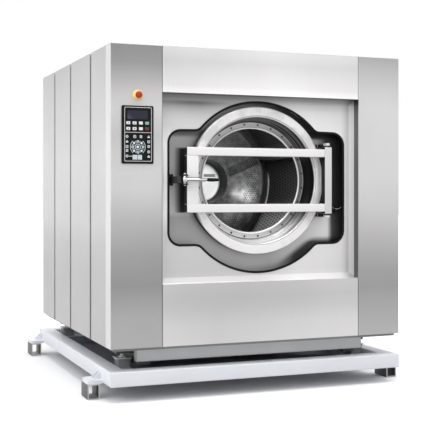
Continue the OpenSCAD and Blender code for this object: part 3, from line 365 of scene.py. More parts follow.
def bead(route, radius, lumps=0.12, sides=8):
    """A weld bead: a small round section carried along a route of points, with its radius waved by a
    sine of the length so that the ripples of the weld show."""
    r = np.asarray(route, float)
    step = np.gradient(r, axis=0)
    step /= np.linalg.norm(step, axis=1)[:, None]
    up = np.where(np.abs(step[:, 2:3]) > 0.9, [[1.0, 0, 0]], [[0, 0, 1.0]])
    side = np.cross(step, up)
    side /= np.linalg.norm(side, axis=1)[:, None]
    over = np.cross(side, step)
    t = np.linspace(0, 2 * np.pi, sides, endpoint=False)
    length = np.concatenate([[0], np.cumsum(np.linalg.norm(np.diff(r, axis=0), axis=1))])
    size = radius * (1 + lumps * np.sin(length / radius * 1.9))
    fade = np.clip(np.minimum(length, length[-1] - length) / radius, 0.3, 1.0)
    size = (size * fade)[None, :, None]
    grid = r[None] + size * (np.cos(t)[:, None, None] * side[None] + np.sin(t)[:, None, None] * over[None])
    return skin(grid, True, False, True)


def straight(a, b, step=5.0):
    """Points along a straight line, about a step apart."""
    a, b = np.asarray(a, float), np.asarray(b, float)
    n = max(3, int(np.linalg.norm(b - a) / step))
    return a + (b - a) * np.linspace(0, 1, n)[:, None]


dress(white_enamel, "foot_brackets")
beads = []
for side in (-1, 1):
    for y0 in FOOT_Y:
        edges = [y0 + FOOT_L * part + edge for part in GUSSETS for edge in (0.0, GUSSET_W)]
        welds = [weld for y in edges for weld in (((6, y, 1), (48, y, 1), 2.4), ((1, y, 3), (1, y, 38), 2.2))]
        for start, end, radius in welds + [((1, y0 + 4, 0), (1, y0 + FOOT_L - 4, 0), 3.0)]:
            ends = [(side * (HALF_W + out), y, BRACKET_TOP + up) for out, y, up in (start, end)]
            beads.append(bead(straight(*ends), radius))
piece("bracket_weld_beads", beads, white_enamel, "machine")

# Feet: four short lengths of hollow rectangular tube, cut square and left as bare rolled steel with a dull
# grain and dark mill marks. Painted shade darkens the inside of each tube and the faces that look left, which
# leaves a bright burr-free rim at the cut ends.
FOOT_WALL, FOOT_EASE = 8, 7


def steel(name, tone, rough=0.30, metal=1.0, grain=(900, 900, 8), streak=0.02, drift=0.03, smudge=0.05,
          scratch=0.012, shine=0.5):
    """Brushed or ground steel. Fine streaks run along the grain in tone, roughness and bump, a slow
    drift and dull smudges lie over them. tone is a linear value, or a function that returns one."""
    finish, shader = new_finish(name, rough, metal, 1.2)
    shader.inputs["Specular IOR Level"].default_value = shine
    fine = grain() if callable(grain) else patterned(grain, 2, 0.6)
    slow = ranged(patterned((1.9, 1.9, 1.3), 2, 0.5), 1 - drift, 1 + drift)
    level = tone() if callable(tone) else tone
    coloured(shader, (1.0, 0.985, 0.99), times(ranged(fine, 1 - streak, 1 + streak), slow, level))
    marks = patterned((5, 5, 5), 4, 0.6)
    dull = calc("ADD", ranged(fine, rough - 0.04, rough + 0.04), ranged(marks, -smudge, smudge))
    tree.links.new(dull, shader.inputs["Roughness"])
    bumped(shader, fine, scratch, 0.5)
    return finish


def between(value, start, full, fade, end, smooth=False):
    """1 from full to fade, falling to 0 at start and end."""
    return times(ranged(value, 0.0, 1.0, start, full, smooth), ranged(value, 1.0, 0.0, fade, end, smooth))


def foot_tone_and_shade():
    """Painted shade: the inside of the tube and the faces that look left are painted darker, leaving bright
    cut ends and outer faces.
    """
    across = calc("ABSOLUTE", parts(where)[0])
    # painted shade inside the tube
    inside = times(between(across, 0.9555, 0.9570, 1.0110, 1.0125),
                   along(2, [(-302.5, 0.0), (-301.5, 1.0), (-228.5, 1.0), (-227.5, 0.0)]))
    return times(0.56, ranged(inside, 1.0, 0.30, 0.0, 1.0), facing((-1, 0, 0), 0.35))


foot_steel = steel("bare_tube_steel", foot_tone_and_shade, 0.40, 0.8, (160, 14, 160), 0.10, 0.12)


def lofted(outlines, levels, axis=2, ring=False):
    """Outlines with equal numbers of points, each set at its level along an axis and joined to the
    next. The ends are filled, or joined to each other where they make a ring."""
    rows = []
    for outline, level in zip(outlines, levels):
        columns = list(np.asarray(outline, float).T)
        columns.insert(axis, np.full(len(outline), float(level)))
        rows.append(np.stack(columns, 1))
    return skin(np.stack(rows, 1), True, ring, not ring)


def tube(x0, z0, x1, z1, y0, y1, wall, ease, cut=1.2):
    """A hollow tube along y: the outer outline runs from end to end with a small cut edge, turns in
    and runs back as the inner outline, so that the wall closes on itself."""
    outer = oblong(x0, z0, x1, z1, ease)
    inner = oblong(x0 + wall, z0 + wall, x1 - wall, z1 - wall, ease * 0.7)
    middle = np.array([(x0 + x1) / 2, (z0 + z1) / 2])
    outlines, levels = [], []
    for outline, y, pull in ((outer, y0 + cut, 0), (outer, y0, cut), (inner, y0, -cut), (inner, y0 + cut, 0),
                             (inner, y1 - cut, 0), (inner, y1, -cut), (outer, y1, cut), (outer, y1 - cut, 0)):
        inward = middle - outline
        outlines.append(outline + inward / np.linalg.norm(inward, axis=1)[:, None] * pull)
        levels.append(y)
    return lofted(outlines, levels, 1, True)


feet = []
for side in (-1, 1):
    for y0 in FOOT_Y:
        low, high = sorted((side * FOOT_X, side * (FOOT_X + FOOT_W)))
        feet.append(tube(low, -BASE_HEIGHT, high, FOOT_TOP, y0, y0 + FOOT_L, FOOT_WALL, FOOT_EASE))
piece("hollow_feet", feet, foot_steel, "machine", ["feet"])

# Isolators: square rubber cushions with waisted sides, moulded between steel plates, each with a
# stud and nut on top. They stand on two painted cross tubes inside the base frame.
dark_coat = enamel("dark_coating", (0.12, 0.13, 0.155), 0.50, 0.06, 0.2)
black_rubber = enamel("moulded_rubber", (0.004, 0.004, 0.005), 0.60, 0.03, 0.2, shine=0.2)
grey_rubber = enamel("isolator_rubber", (0.27, 0.275, 0.29), 0.60, 0.05, 0.2)
plate_steel = steel("isolator_plate_steel", 0.80, 0.42, 0.5, (60, 60, 60), 0.06, 0.1)
dress(enamel("cross_tube_coating", (0.36, 0.39, 0.45), 0.55, 0.05, 0.2), "isolator_beams")
ISO_X, ISO_Y, ISO_LOW, ISO_TOP, ISO_HALF = 778.0, (300.0, 1740.0), -161.0, -93.0, 48.0
ISO_PLATE, NUT_R, NUT_H, STUD_R, STUD_TOP = 6, 24, 8, 14.6, -69


def centred(x, z, half_x, half_z, ease):
    """A rounded rectangle round a centre."""
    return oblong(x - half_x, z - half_z, x + half_x, z + half_z, ease)


def layered(x, y, rows):
    """A square block built of rounded-square outlines: each row gives a height, how far the sides
    stand in from the full width, and the corner's radius."""
    return lofted([centred(x, y, ISO_HALF - pull, ISO_HALF - pull, ease) for level, pull, ease in rows],
                  [row[0] for row in rows])


def spun(rows, axis, centre, sides=28, ring=False):
    """Rows of place along an axis and radius, turned round that axis through a centre given in the
    other two directions. The last row is joined to the first where they make a ring."""
    t = np.linspace(0, 2 * np.pi, sides, endpoint=False)[:, None]
    level, r = np.asarray(rows, float).T
    columns = [centre[0] + r * np.cos(t), centre[1] + r * np.sin(t)]
    columns.insert(axis, np.broadcast_to(level, columns[0].shape))
    return skin(np.stack(columns, -1), True, ring, not ring)


cushions, plates, nuts = [], [], []
for side in (-1, 1):
    for y in ISO_Y:
        x = side * ISO_X
        low, top = ISO_LOW + ISO_PLATE, ISO_TOP - ISO_PLATE
        rise = (top - low - 4) / 8
        waist = [(low + 2 + k * rise, 4 + 5 * math.sin(math.pi * k / 8) ** 0.7, 10) for k in range(1, 8)]
        waist = [(low - 1, 6, 9), (low + 2, 4, 9)] + waist + [(top - 2, 4, 9), (top + 1, 6, 9)]
        cushions.append(layered(x, y, waist))
        for level in (ISO_LOW, top):
            rows = [(level + rise, pull, 6) for rise, pull in ((0, 1), (1, 0.2), (5, 0.2), (ISO_PLATE, 1))]
            plates.append(layered(x, y, rows))
        rows = [(0, NUT_R - 5), (1.6, NUT_R - 3), (1.7, NUT_R), (6, NUT_R), (NUT_H, NUT_R - 3)]
        nuts.append(spun([(ISO_TOP + rise, r) for rise, r in rows], 2, (x, y), 6))
        thread = [(ISO_TOP + NUT_H + k, STUD_R + 0.3 - 0.7 * (k % 2)) for k in range(15)]
        nuts.append(spun([(ISO_TOP + 7, STUD_R)] + thread + [(STUD_TOP, STUD_R)], 2, (x, y), 24))
piece("isolator_cushions", cushions, grey_rubber, "machine", ["isolators"])
piece("isolator_plates", plates, plate_steel, "machine")
piece("isolator_nuts", nuts, plate_steel, "machine")

# Under-frame: the dark rails and the pan whose turned-down lip shows as a grey strip under the
# cabinet, and the light grey cross beam in front of them.
grey_beam = enamel("grey_beam_enamel", (0.60, 0.61, 0.62), 0.40, 0.02, 0.06, 0.2)
dress(grey_beam, "front_cross_beam")
under_finish, shader = new_finish("under_frame_coating")
coloured(shader, (1, 1.02, 1.05), along(2, [(-18, 0.10), (-15, 0.22)]))
bumped(shader, patterned((220, 220, 220)), 0.1)
dress(under_finish, "under_frame")
dress(dark_coat, "cabinet_frame", "motor_base", "tub_saddles")

# Cabinet: folded panels of stainless sheet, finely brushed up and down. Front columns wrap the corners,
# middle panels sit between them, and side panels and roof are trays with deep seams. Each panel carries a
# painted sheen: a slow change of tone up its height that stands for the reflections brushed sheet shows.
SILL, RECESS_TOP = 356.0, 1454.0
SHEET = dict(rough=0.42, metal=0.55)


def grey(seen):
    """Linear value of a grey given by its brightness as seen, 0 to 255: the display curve undone."""
    return ((seen / 255 + 0.055) / 1.055) ** 2.4


def seen(*stops):
    """Stops given as (place, brightness as seen) with the brightness made linear."""
    return [(place, grey(value)) for place, value in stops]


def left_column_painted_sheen():
    """Painted sheen: the face carries a painted reflection that changes up its height, and the outer return,
    which looks to the light on the left, is painted lighter.
    """
    face = along(2, seen((0, 172), (170, 168), (350, 146), (530, 157), (715, 178), (895, 203), (1000, 206),
                         (1200, 194), (1360, 204), (1440, 196), (1530, 172), (1620, 148), (1720, 138)))
    turned_back = along(2, seen((0, 236), (300, 236), (700, 246), (1200, 246), (1720, 236)))
    return blended(facing((-1, 0, 0), 0.0), turned_back, face)


def upper_panel_painted_sheen():
    """Painted sheen: the upper panel is painted lightest in its middle and lighter still just above the
    recess.
    """
    across = along(0, seen((-627, 202), (-420, 207), (-150, 217), (50, 222), (250, 220), (643, 212)))
    return times(across, along(2, [(RECESS_TOP, 1.48), (1500, 1.20), (1640, 0.97), (1700, 1.05)]))


def lower_panel_painted_sheen():
    """Painted sheen: the lower panel is painted darkest under its middle and lighter below and to the right,
    and painted shade darkens its faces that look up.
    """
    level = along(2, seen((0, 210), (110, 206), (210, 193), (270, 189), (350, 194), (SILL, 178)))
    return times(level, facing((0, 0, 1), 0.85),
                 along(0, [(-627, 1.02), (-300, 0.97), (100, 1.0), (643, 1.10)]))


def side_sheen_and_seam_shade():
    """Side panels: a painted sheen by height, a little lighter towards the back, and painted shade that makes
    them much darker inside the seams.
    """
    level = along(2, seen((0, 204), (400, 207), (560, 213), (700, 224), (1100, 229), (1450, 218),
                          (1720, 202)))
    # painted shade inside the seams
    across = calc("ABSOLUTE", parts(where)[0])
    back = along(1, [(0, 1.0), (1869, 1.10)])
    return times(level, back, ranged(across, 0.55, 1.0, 0.9296, 0.9316))


def recess_painted_light():
    """Recess, painted light throughout: painted shade darkens the right wall, the top wall and the face under
    its top edge, with a soft painted shadow at the upper left; the sill is painted light, a painted highlight
    runs down a strip along the left edge, and the face is painted lighter towards the right."""
    level = along(2, seen((SILL, 200), (420, 192), (800, 207), (1250, 210), (1370, 204), (1414, 185),
                          (1433, 137), (RECESS_TOP, 112)))
    # painted highlight on a strip along the left edge
    strip = times(along(0, [(-560, 1.0), (-540, 0.0)]),
                  along(2, [(640, 0.0), (760, 1.0), (1160, 1.0), (1270, 0.0)]))
    # painted soft shadow under the top edge
    under = times(along(2, [(1300, 0.0), (1340, 0.15), (1385, 0.5), (1408, 1.0), (1425, 0.35), (1445, 0.2)]),
                  along(0, [(-600, 0.65), (-510, 0.88), (-440, 1.0), (-370, 1.0), (-290, 0.75), (-150, 0.3),
                            (0, 0.0)]))
    level = times(level, ranged(strip, 1.0, 1.30, 0.0, 1.0), ranged(under, 1.0, 0.30, 0.0, 1.0))
    across = along(0, [(-627, 1.02), (0, 1.08), (250, 1.34), (420, 1.32), (560, 1.28), (600, 1.08),
                       (643, 1.00)])
    sill = blended(facing((0, 0, 1), 0.0),
                   along(0, [(-627, 1.62), (-200, 1.45), (150, 1.18), (400, 0.98), (643, 0.92)]), 1.0)
    return times(level, across, facing((-1, 0, 0), 0.21), facing((0, 0, -1), 0.95), sill)


def right_column_painted_sheen():
    """Painted sheen: darkest low down, lightest above the middle."""
    return along(2, seen((0, 180), (200, 167), (300, 158), (400, 162), (600, 184), (800, 206), (1000, 214),
                         (1400, 212), (1500, 205), (1600, 192), (1720, 172)))


for name, tone, nodes in (
        ("left_column_sheet", left_column_painted_sheen, ["left_front_column"]),
        ("right_column_sheet", right_column_painted_sheen, ["right_front_column"]),
        ("upper_panel_sheet", upper_panel_painted_sheen, ["upper_front_panel"]),
        ("lower_panel_sheet", lower_panel_painted_sheen, ["lower_front_panel"]),
        ("side_sheet", side_sheen_and_seam_shade, ["left_side_panels", "right_side_panels", "rear_panel"]),
        ("recess_sheet", recess_painted_light, ["recess_panel"])):
    dress(steel(name, tone, **SHEET), *nodes)
dress(steel("roof_sheet", grey(196), grain=(900, 8, 900), **SHEET), "top_panels")

# Cut-out edging: a soft black rubber channel pushed over the sheet's edge, all the way round the
# lobed opening in the recess.
CUT_R, CUT_Z = 508.0, 909.0


def cutout(grow):
    """The lobed outline grown outwards: for each direction from the centre, the furthest of the
    circle, the rounded rectangle of the side lobes and the hollow blends between them."""
    t = np.linspace(0, 2 * np.pi, 1440, endpoint=False)
    d = np.stack([np.cos(t), np.sin(t)], -1)
    radius, half, wide, corner, blend = CUT_R + grow, 338.5 + grow, 572.0 + grow, 78.0 + grow, 60.0 - grow
    a = np.abs(d)
    flat = np.minimum(wide / np.maximum(a[:, 0], 1e-9), half / np.maximum(a[:, 1], 1e-9))
    q = np.array([wide - corner, half - corner])
    onto = a @ q
    arc = onto + np.sqrt(np.maximum(onto ** 2 - (q @ q - corner ** 2), 0))
    p = a * flat[:, None]
    lobe = np.where((p[:, 0] > q[0]) & (p[:, 1] > q[1]), arc, flat)
    best = np.maximum(radius, lobe)
    cz = half + blend
    cx = math.sqrt((radius + blend) ** 2 - cz ** 2)
    c = np.array([cx, cz])
    onto = a @ c
    gap = onto ** 2 - (c @ c - blend ** 2)
    near = onto - np.sqrt(np.maximum(gap, 0))
    turn = np.arctan2(a[:, 1], a[:, 0])
    low, high = math.atan2(half, cx), math.atan2(cz, cx)
    best = np.where((gap > 0) & (turn > low) & (turn < high), np.maximum(best, near), best)
    return d * best[:, None]


outlines, levels = [], []
for grown, y in ((3.0, 66.6), (3.2, 65), (2.0, 64), (0, 63.4), (-8.6, 64.4), (-10.4, 67), (-10.4, 69),
                 (-8.6, 71.4), (0, 72.3), (2.0, 72), (3.2, 71), (3.0, 69.4), (0.5, 69.2), (0.5, 66.8)):
    outline = cutout(grown)
    d = outline / np.linalg.norm(outline, axis=1)[:, None]
    wider = 6.0 * np.clip((d[:, :1] - 0.3) / 0.5, 0, 1) + 9.0 * np.clip((d[:, 1:] - 0.55) / 0.35, 0, 1)
    outlines.append(outline + d * wider + [0.0, CUT_Z])
    levels.append(y)
piece("rubber_edging", [lofted(outlines, levels, 1, True)], black_rubber, "machine",
      ["cutout_edging"])

# Tub: the dull brushed front plate behind the cut-out, the shell and the back plate, with hinge
# brackets, latch keeper and interlock switch fixed on the front plate.
AXIS_Z = 955.0


def polar():
    """Angle round the door's and drum's axis, in radians, distance from it, in metres, and depth."""
    x, y, z = parts(where)
    up = calc("SUBTRACT", z, (AXIS_Z + BASE_HEIGHT) / 1000)
    return calc("ARCTAN2", up, x), vector("LENGTH", joined(x, up)), y


def joined(*values):
    """A vector of up to three values."""
    return add("CombineXYZ", enumerate(values)).outputs[0]


def tub_plate_painted_light():
    """Painted light throughout: dark above and in the right lobe, mid grey on the left and below, with a
    painted patch of light near the upper hinge. Painted soft shadows lie beside the bar frame, under the edge
    of the left lobe and along the lower right of the opening."""
    up = along(2, seen((400, 182), (560, 182), (700, 172), (900, 166), (1150, 150), (1205, 156), (1225, 110),
                       (1248, 100), (1262, 150), (1480, 160)))
    high = along(0, [(-600, 1.52), (60, 1.0), (190, 0.45), (320, 0.22), (430, 0.14), (600, 0.09)])
    shade = along(0, [(-512, 1.0), (-490, 0.45), (-470, 0.06), (-425, 0.06), (-420, 1.0)])
    beside = along(2, [(757, 0.0), (767, 1.0), (1140, 1.0), (1150, 0.0)])
    low = along(0, [(-600, 0.95), (-300, 0.9), (100, 0.95), (330, 1.50), (500, 1.95), (528, 0.25),
                    (600, 0.10)])
    across = blended(along(2, [(735, 0.0), (765, 1.0)]), low, high)
    # painted soft shadow along the lower right of the opening
    slant = vector("DOT_PRODUCT", where, (0.565, 0.0, -0.825))
    corner = times(ranged(slant, 0.0, 1.0, -0.556, -0.512, True), along(0, [(130, 0.0), (270, 1.0)]),
                   along(2, [(578, 1.0), (612, 0.0)]))
    # painted patch of light near the upper hinge
    patch = times(along(0, [(372, 0.0), (392, 1.0), (430, 0.8), (485, 0.0)]),
                  along(2, [(1150, 0.0), (1158, 1.0), (1200, 1.0), (1222, 0.0)]))
    return times(up, across, blended(beside, 1.0, shade), ranged(corner, 1.0, 0.13, 0.0, 1.0),
                 ranged(patch, 1.0, 10.0, 0.0, 1.0))


tub_steel = steel("tub_plate_steel", tub_plate_painted_light, 0.40, 0.5, shine=0.25)
tub_back_steel = steel("tub_shell_steel", 0.30, 0.38)
dress(tub_steel, "tub_front_plate")
dress(tub_back_steel, "tub_shell", "tub_back_plate")
# The latch keeper is made near-black.
dress(enamel("keeper_near_black", (0.035, 0.035, 0.038), 0.5, 0.02, 0.1, shine=0.2), "latch_keeper")
dress(black_rubber, "door_switch", "shaft_seal")
bracket_steel = steel("bracket_steel", 0.04, 0.32, 0.6, (120, 120, 120), shine=0.3)
nut_steel = steel("hinge_nut_steel", 0.85, 0.24, 0.9, (120, 120, 120), scratch=0.002)
HINGE_X, HINGE_Y, HINGE_R, HINGE_RISE, PLATE_Y = 445.0, 40.0, 24, 203.4, 134.9
arc = np.linspace(np.pi, 2 * np.pi, 15)
plan = [(HINGE_X + HINGE_R * math.cos(a), HINGE_Y + HINGE_R * math.sin(a)) for a in arc]
plan += [(469, 121), (476, 122), (476, PLATE_Y), (414, PLATE_Y), (414, 122), (421, 121)]
brackets, nuts = [], []
for side in (-1, 1):
    near = AXIS_Z + side * HINGE_RISE
    for start, thick, back in ((0, 8, HINGE_Y), (8, 12, 72)):
        outline = [(x, max(y, back)) for x, y in plan[::14] + plan[15:]] if back > HINGE_Y else plan
        brackets.append(lofted([eased(outline, 1.0, 3)] * 2,
                               [near + side * start, near + side * (start + thick)]))
    for level, r0, r1, sides, top in ((8, 22, 23, 24, 10.5), (10.5, 20, 22, 6, 26.5)):
        rows = [(level, r0), (level + 1, r1), (top - 2, r1), (top, r0 - 2)]
        nuts.append(spun([(near + side * h, r) for h, r in rows], 2, (HINGE_X, HINGE_Y), sides))
    for y in (112, 127):
        nuts.append(spun([(near + side, 2.6), (near + side * 18, 2.6)], 2, (418.5, y), 10))
piece("hinge_bracket_arms", brackets, bracket_steel, "machine", ["hinge_brackets"])
piece("hinge_nuts_and_bolts", nuts, nut_steel, "machine")
feeler = [(511, 86, 795), (514, 86, 788), (524, 85, 781), (540, 85, 779), (560, 86, 784), (579, 88, 795)]
feeler = np.concatenate([straight(a, b, 3) for a, b in zip(feeler, feeler[1:])])
piece("switch_feeler_wire", [bead(feeler, 1.3, 0.0)], nut_steel, "machine")

# Door gasket: a moulded rubber ring on the tub's plate with a rounded lip that the door's ring
# presses on.


def turned(profile, turns=256, centre=(0.0, AXIS_Z), ring=True):
    """A profile of radius and depth carried round an axis along y."""
    return spun([(y, r) for r, y in profile], 1, centre, turns, ring)


gasket = eased([(413.5, 134.7), (413.5, 123), (418, 119.6), (436, 119.6), (440.5, 123), (440.5, 134.7)],
               [1, 3, 3, 3, 3, 1])
piece("gasket_lip", [turned(gasket)], black_rubber, "machine", ["door_gasket"])

# Door ring: one turned stainless ring with a rounded rim, a flat ground face, a rolled inner lip
# and a steep polished dish that runs back to the window's seat.


def turned_grain():
    """Fine rings left by turning: noise that changes fast with radius and depth, slowly with angle."""
    angle, away, deep = polar()
    return noise(joined(times(angle, 0.8), times(away, 380.0), times(deep, 380.0)), 2.0, 0.6)


def ring_stains_and_painted_reflection():
    """The flat face is ground light with faint stains, a fine dark line inside its lip, and painted shade at
    its outer edge on the left and right. The polished dish behind carries a painted reflection: dark on the
    right and above, and light below, as it mirrors the surroundings, with faint dark and light rings through
    its upper right."""
    angle, away, deep = polar()
    groove = calc("ABSOLUTE", calc("SUBTRACT", ranged(away, 0.0, 1.0, 0.3825, 0.3905), 0.5))
    # painted shade at the face's outer edge on the left and right
    side = ranged(calc("ABSOLUTE", parts(where)[0]), 0.0, 1.0, 0.34, 0.41)
    rim = ranged(away, 1.0, 0.03, 0.430, 0.434)
    stains = ranged(patterned((7, 7, 7), 4, 0.6), 0.80, 1.02, 0.36, 0.56, True)
    face = times(0.84, stains, ranged(groove, 0.42, 1.0, 0.12, 0.40), blended(side, 1.0, rim))
    # painted reflection on the polished dish
    streaks = noise(joined(times(angle, 1.3), times(away, 150.0), times(deep, 30.0)))
    dish = times(toward((0, 0, 1), 0.14, 0.92, 0.25, 0.92), toward((-0.97, 0, -0.2), 1.0, 0.12, 0.25, 0.90),
                 ranged(streaks, 0.55, 1.45))
    bands = noise(joined(times(angle, 0.8), 0.0, times(deep, 70.0)))
    upper_right = between(angle, 0.25, 0.70, 1.25, 1.80, True)
    dish = blended(upper_right, dish, times(0.13, ranged(bands, 0.15, 1.8, 0.36, 0.62, True)))
    return blended(along(1, [(77, 0.0), (84, 1.0)]), face, dish)


ring_steel = steel("turned_ring_steel", ring_stains_and_painted_reflection, 0.34, 0.5, turned_grain, 0.04, 0.03, 0.04, 0.004, 0.12)
ring_profile = eased([(443, 118.7), (443, 70), (381, 70), (360, 174), (358, 183), (328.3, 183), (328.3, 190),
                      (323, 190), (323, 195), (363, 195), (366, 188), (391, 79), (425, 79), (425, 118.7)],
                     [1, 12, 9, 1.5, 0.8, 0.5, 0.5, 0.5, 1, 2, 4, 4, 3, 1])
piece("door_ring_turned", [turned(ring_profile)], ring_steel, "door", ["door_ring"])

# Clamping ring: a turned ring with a round bead at its inner edge that holds the glass down, with
# 24 button-head bolts with hexagon sockets round it.


def clamp_painted_light():
    """Painted light: the ring is painted lighter on the left and towards the bottom, and the front of its
    round bead carries a painted highlight all the way round.
    """
    across = along(0, [(-360, 0.50), (-100, 0.55), (80, 0.50), (240, 0.24), (340, 0.15)])
    low = along(2, [(AXIS_Z - 340, 1.25), (AXIS_Z - 150, 1.0), (AXIS_Z + 300, 1.0)])
    return blended(along(1, [(171, 1.0), (175, 1.0), (178, 0.0)]), times(across, low), 0.95)


clamp_steel = steel("clamp_ring_steel", clamp_painted_light, 0.34, 0.5, turned_grain, 0.03, 0.03, scratch=0.003)
BEAD_R, BEAD_Y, BEAD_SIZE = 320.5, 177.0, 5.5
arc = np.linspace(-0.15 * np.pi, 1.15 * np.pi, 12)
bead_arc = [(BEAD_R + BEAD_SIZE * math.cos(a), BEAD_Y - BEAD_SIZE * math.sin(a)) for a in arc]
clamp_profile = [(354, 182.8), (354, 178), (353, BEAD_Y)] + bead_arc + [(315, 182.8)]
piece("clamping_ring", [turned(clamp_profile)], clamp_steel, "door", ["window_ring"])


def button_head(x, y, z, r=6.0):
    """A button head looking along -y: a low dome whose rim meets a six-sided socket."""
    rows = [(1, 0.2), (1, -1.2), (0.92, -3.0), (0.72, -4.4), (0.55, -4.9), (0.46, -4.9), (0.46, -2.2)]
    return turned([(r * size, y + level) for size, level in rows], 12, (x, z), False)


BOLT_CIRCLE, BOLTS = 342.0, 24
turns = (np.arange(BOLTS) + 0.5) * 2 * np.pi / BOLTS
heads = [button_head(BOLT_CIRCLE * math.cos(a), BEAD_Y, AXIS_Z + BOLT_CIRCLE * math.sin(a)) for a in turns]
bolt_steel = steel("bolt_steel", 0.05, 0.35, 0.8, (300, 300, 300))
piece("clamp_bolts", heads, bolt_steel, "door", ["window_bolts"])

# Window: the round disc of clear toughened glass, kept as the plain solid. It is very slightly
# grey and carries a faint film of wiping marks.
glass, shader = new_finish("door_glass_clear", 0.04, 0.0, 0)
shader.inputs["Base Color"].default_value = (0.02, 0.022, 0.022, 1)
clear = add("BsdfTransparent", [("Color", (0.93, 0.94, 0.94, 1))])
film = ranged(patterned((6, 6, 9), 5), 0.004, 0.03)
both = add("MixShader", [(0, film), (1, clear.outputs[0]), (2, shader.outputs[0])])
output = next(n for n in tree.nodes if n.bl_idname == "ShaderNodeOutputMaterial")
tree.links.new(both.outputs[0], output.inputs["Surface"])
dress(glass, "door_glass")

# Bar frame: two long bars, the wide free upright between them, the hinge post and the pads behind,
# all square tube with closed ground ends, butted so that fine seams show at the joints.
BAR_FRONT, BAR_BACK, BAR_END, BAR_H, BAR_REACH = 15.0, 65.0, -472, 48, 190
POST_LEFT, POST_RIGHT, POST_LOW, POST_TOP, PAD_X = 421, 469, 752, 1158, 382


def block(x0, y0, z0, x1, y1, z1, ease, axis=2):
    """A closed tube with softened ends: a rounded outline across the axis is carried along it, and
    is drawn in over the first and last length ease. Axis 0, 1 or 2 is x, y or z."""
    low, high = [x0, y0, z0], [x1, y1, z1]
    start, end = low.pop(axis), high.pop(axis)
    steps = ((0, 1.0), (0.12, 0.45), (0.45, 0.12), (1.0, 0.0))
    rings = [(start + part * ease, pull * ease) for part, pull in steps]
    rings += [(end - part * ease, pull * ease) for part, pull in steps[::-1]]
    outlines = [oblong(low[0] + pull, low[1] + pull, high[0] - pull, high[1] - pull,
                       max(ease - pull * 0.6, 0.3))
                for level, pull in rings]
    return lofted(outlines, [level for level, pull in rings], axis)


def bar_tone_and_shade():
    """Painted shade: the ends that look left are painted dark, and the faces that look down darker."""
    return times(0.75, facing((0, 0, -1), 0.5), facing((-1, 0, 0), 0.02))


def post_tone_and_shade():
    """Painted shade: the side that looks left is painted dark."""
    return times(0.60, facing((-1, 0, 0), 0.02))


GROUND = dict(rough=0.36, metal=0.2, streak=0.015, drift=0.02, smudge=0.03, scratch=0.002, shine=0.05)
bar_steel = steel("ground_bar_steel", bar_tone_and_shade, grain=(6, 300, 300), **GROUND)
post_steel = steel("ground_post_steel", post_tone_and_shade, grain=(300, 300, 6), **GROUND)
low, top = AXIS_Z - BAR_REACH, AXIS_Z + BAR_REACH
bars = [block(BAR_END, BAR_FRONT, z, 421.3, BAR_BACK, z + BAR_H, 4, 0) for z in (top - BAR_H, low)]
bars.append(block(BAR_END, BAR_FRONT + 0.8, low + BAR_H + 0.1, -400, BAR_BACK - 0.8, top - BAR_H - 0.1, 4, 2))
for x in (-PAD_X, PAD_X):
    for z in (low + BAR_H / 2, top - BAR_H / 2):
        bars.append(block(x - 16, BAR_BACK - 1, z - 15, x + 16, 70.2, z + 15, 2, 1))
piece("door_bar_tubes", bars, bar_steel, "door", ["door_bars"])
post = block(POST_LEFT, BAR_FRONT, POST_LOW, POST_RIGHT, BAR_BACK, POST_TOP, 5, 2)
piece("hinge_post", [post], post_steel, "door")

# Latch: two ears and an upright pin with round ends on the free upright, and the lever, which is a
# short boss with a bright rod that runs across the door to a tapered black grip.
LATCH_X, LATCH_Y, EAR_GAP, EAR_H = -495.0, -10.0, 22.0, 8


def chrome_painted_reflection():
    """A painted reflection: bright bands with the dark lines that a polished rod mirrors from above, below
    and its middle: stops by how far the surface looks up, in thousandths."""
    up = joined(parts(add("TexCoord").outputs["Normal"])[2])
    return along(0, [(-1000, 0.08), (-840, 0.10), (-740, 0.85), (-620, 0.85), (-520, 0.14), (-200, 0.18),
                     (-90, 0.92), (380, 0.95), (520, 0.45), (640, 0.08), (1000, 0.06)], up)


chrome = steel("latch_chrome", chrome_painted_reflection, 0.16, 1.0, (200, 200, 200), 0.01, 0.02, 0.03, 0.001)
ear = eased([(-511, -12), (LATCH_X, -26), (-478, -22), (-467, 18), (-467, 54), (-478, 54), (-500, 2)],
            [8, 8, 6, 4, 2, 2, 6], 4)
ears = [lofted([ear, ear], [z, z + EAR_H]) for z in (AXIS_Z - EAR_GAP - EAR_H, AXIS_Z + EAR_GAP)]
top = EAR_GAP + EAR_H
pin = [(-top - 5, 2), (-top - 3, 5.4), (-top - 0.4, 6), (-top + 0.2, 5), (top - 0.2, 5), (top, 6.4),
       (top + 3, 7.4), (top + 6.4, 6.6), (top + 8.4, 3)]
boss = [(-21.6, 8), (-15.4, 8.4), (-15, 11), (-13, 14), (-8, 15), (8, 15), (13, 14), (15, 11), (15.4, 8.4),
        (21.6, 8)]
pin, boss = [spun([(AXIS_Z + h, r) for h, r in rows], 2, (LATCH_X, LATCH_Y)) for rows in (pin, boss)]
rod = [(8, 9), (10, 12.4), (12, 13), (92, 13), (95, 12.2), (97, 9.4), (99, 9), (131, 9), (134, 8), (136, 5),
       (138, 5)]
grip = [(136.4, 5.2), (137, 8.2), (140, 9.6), (150, 10.6), (172, 10.8), (192, 10.2), (204, 8.8), (210.0, 6.0),
        (212, 2.0)]
rod, grip = [spun([(LATCH_X + x, r) for x, r in rows], 0, (LATCH_Y, AXIS_Z)) for rows in (rod, grip)]
piece("latch_ears", ears, bracket_steel, "door")
piece("latch_pin", [pin], nut_steel, "door")
piece("latch_lever_rod", [boss, rod], chrome, "latch", ["latch_lever"])
black_plastic = enamel("black_plastic", (0.004, 0.004, 0.005), 0.42, 0.01, 0.1, shine=0.18)
piece("latch_grip_moulding", [grip], black_plastic, "latch", ["latch_grip"])

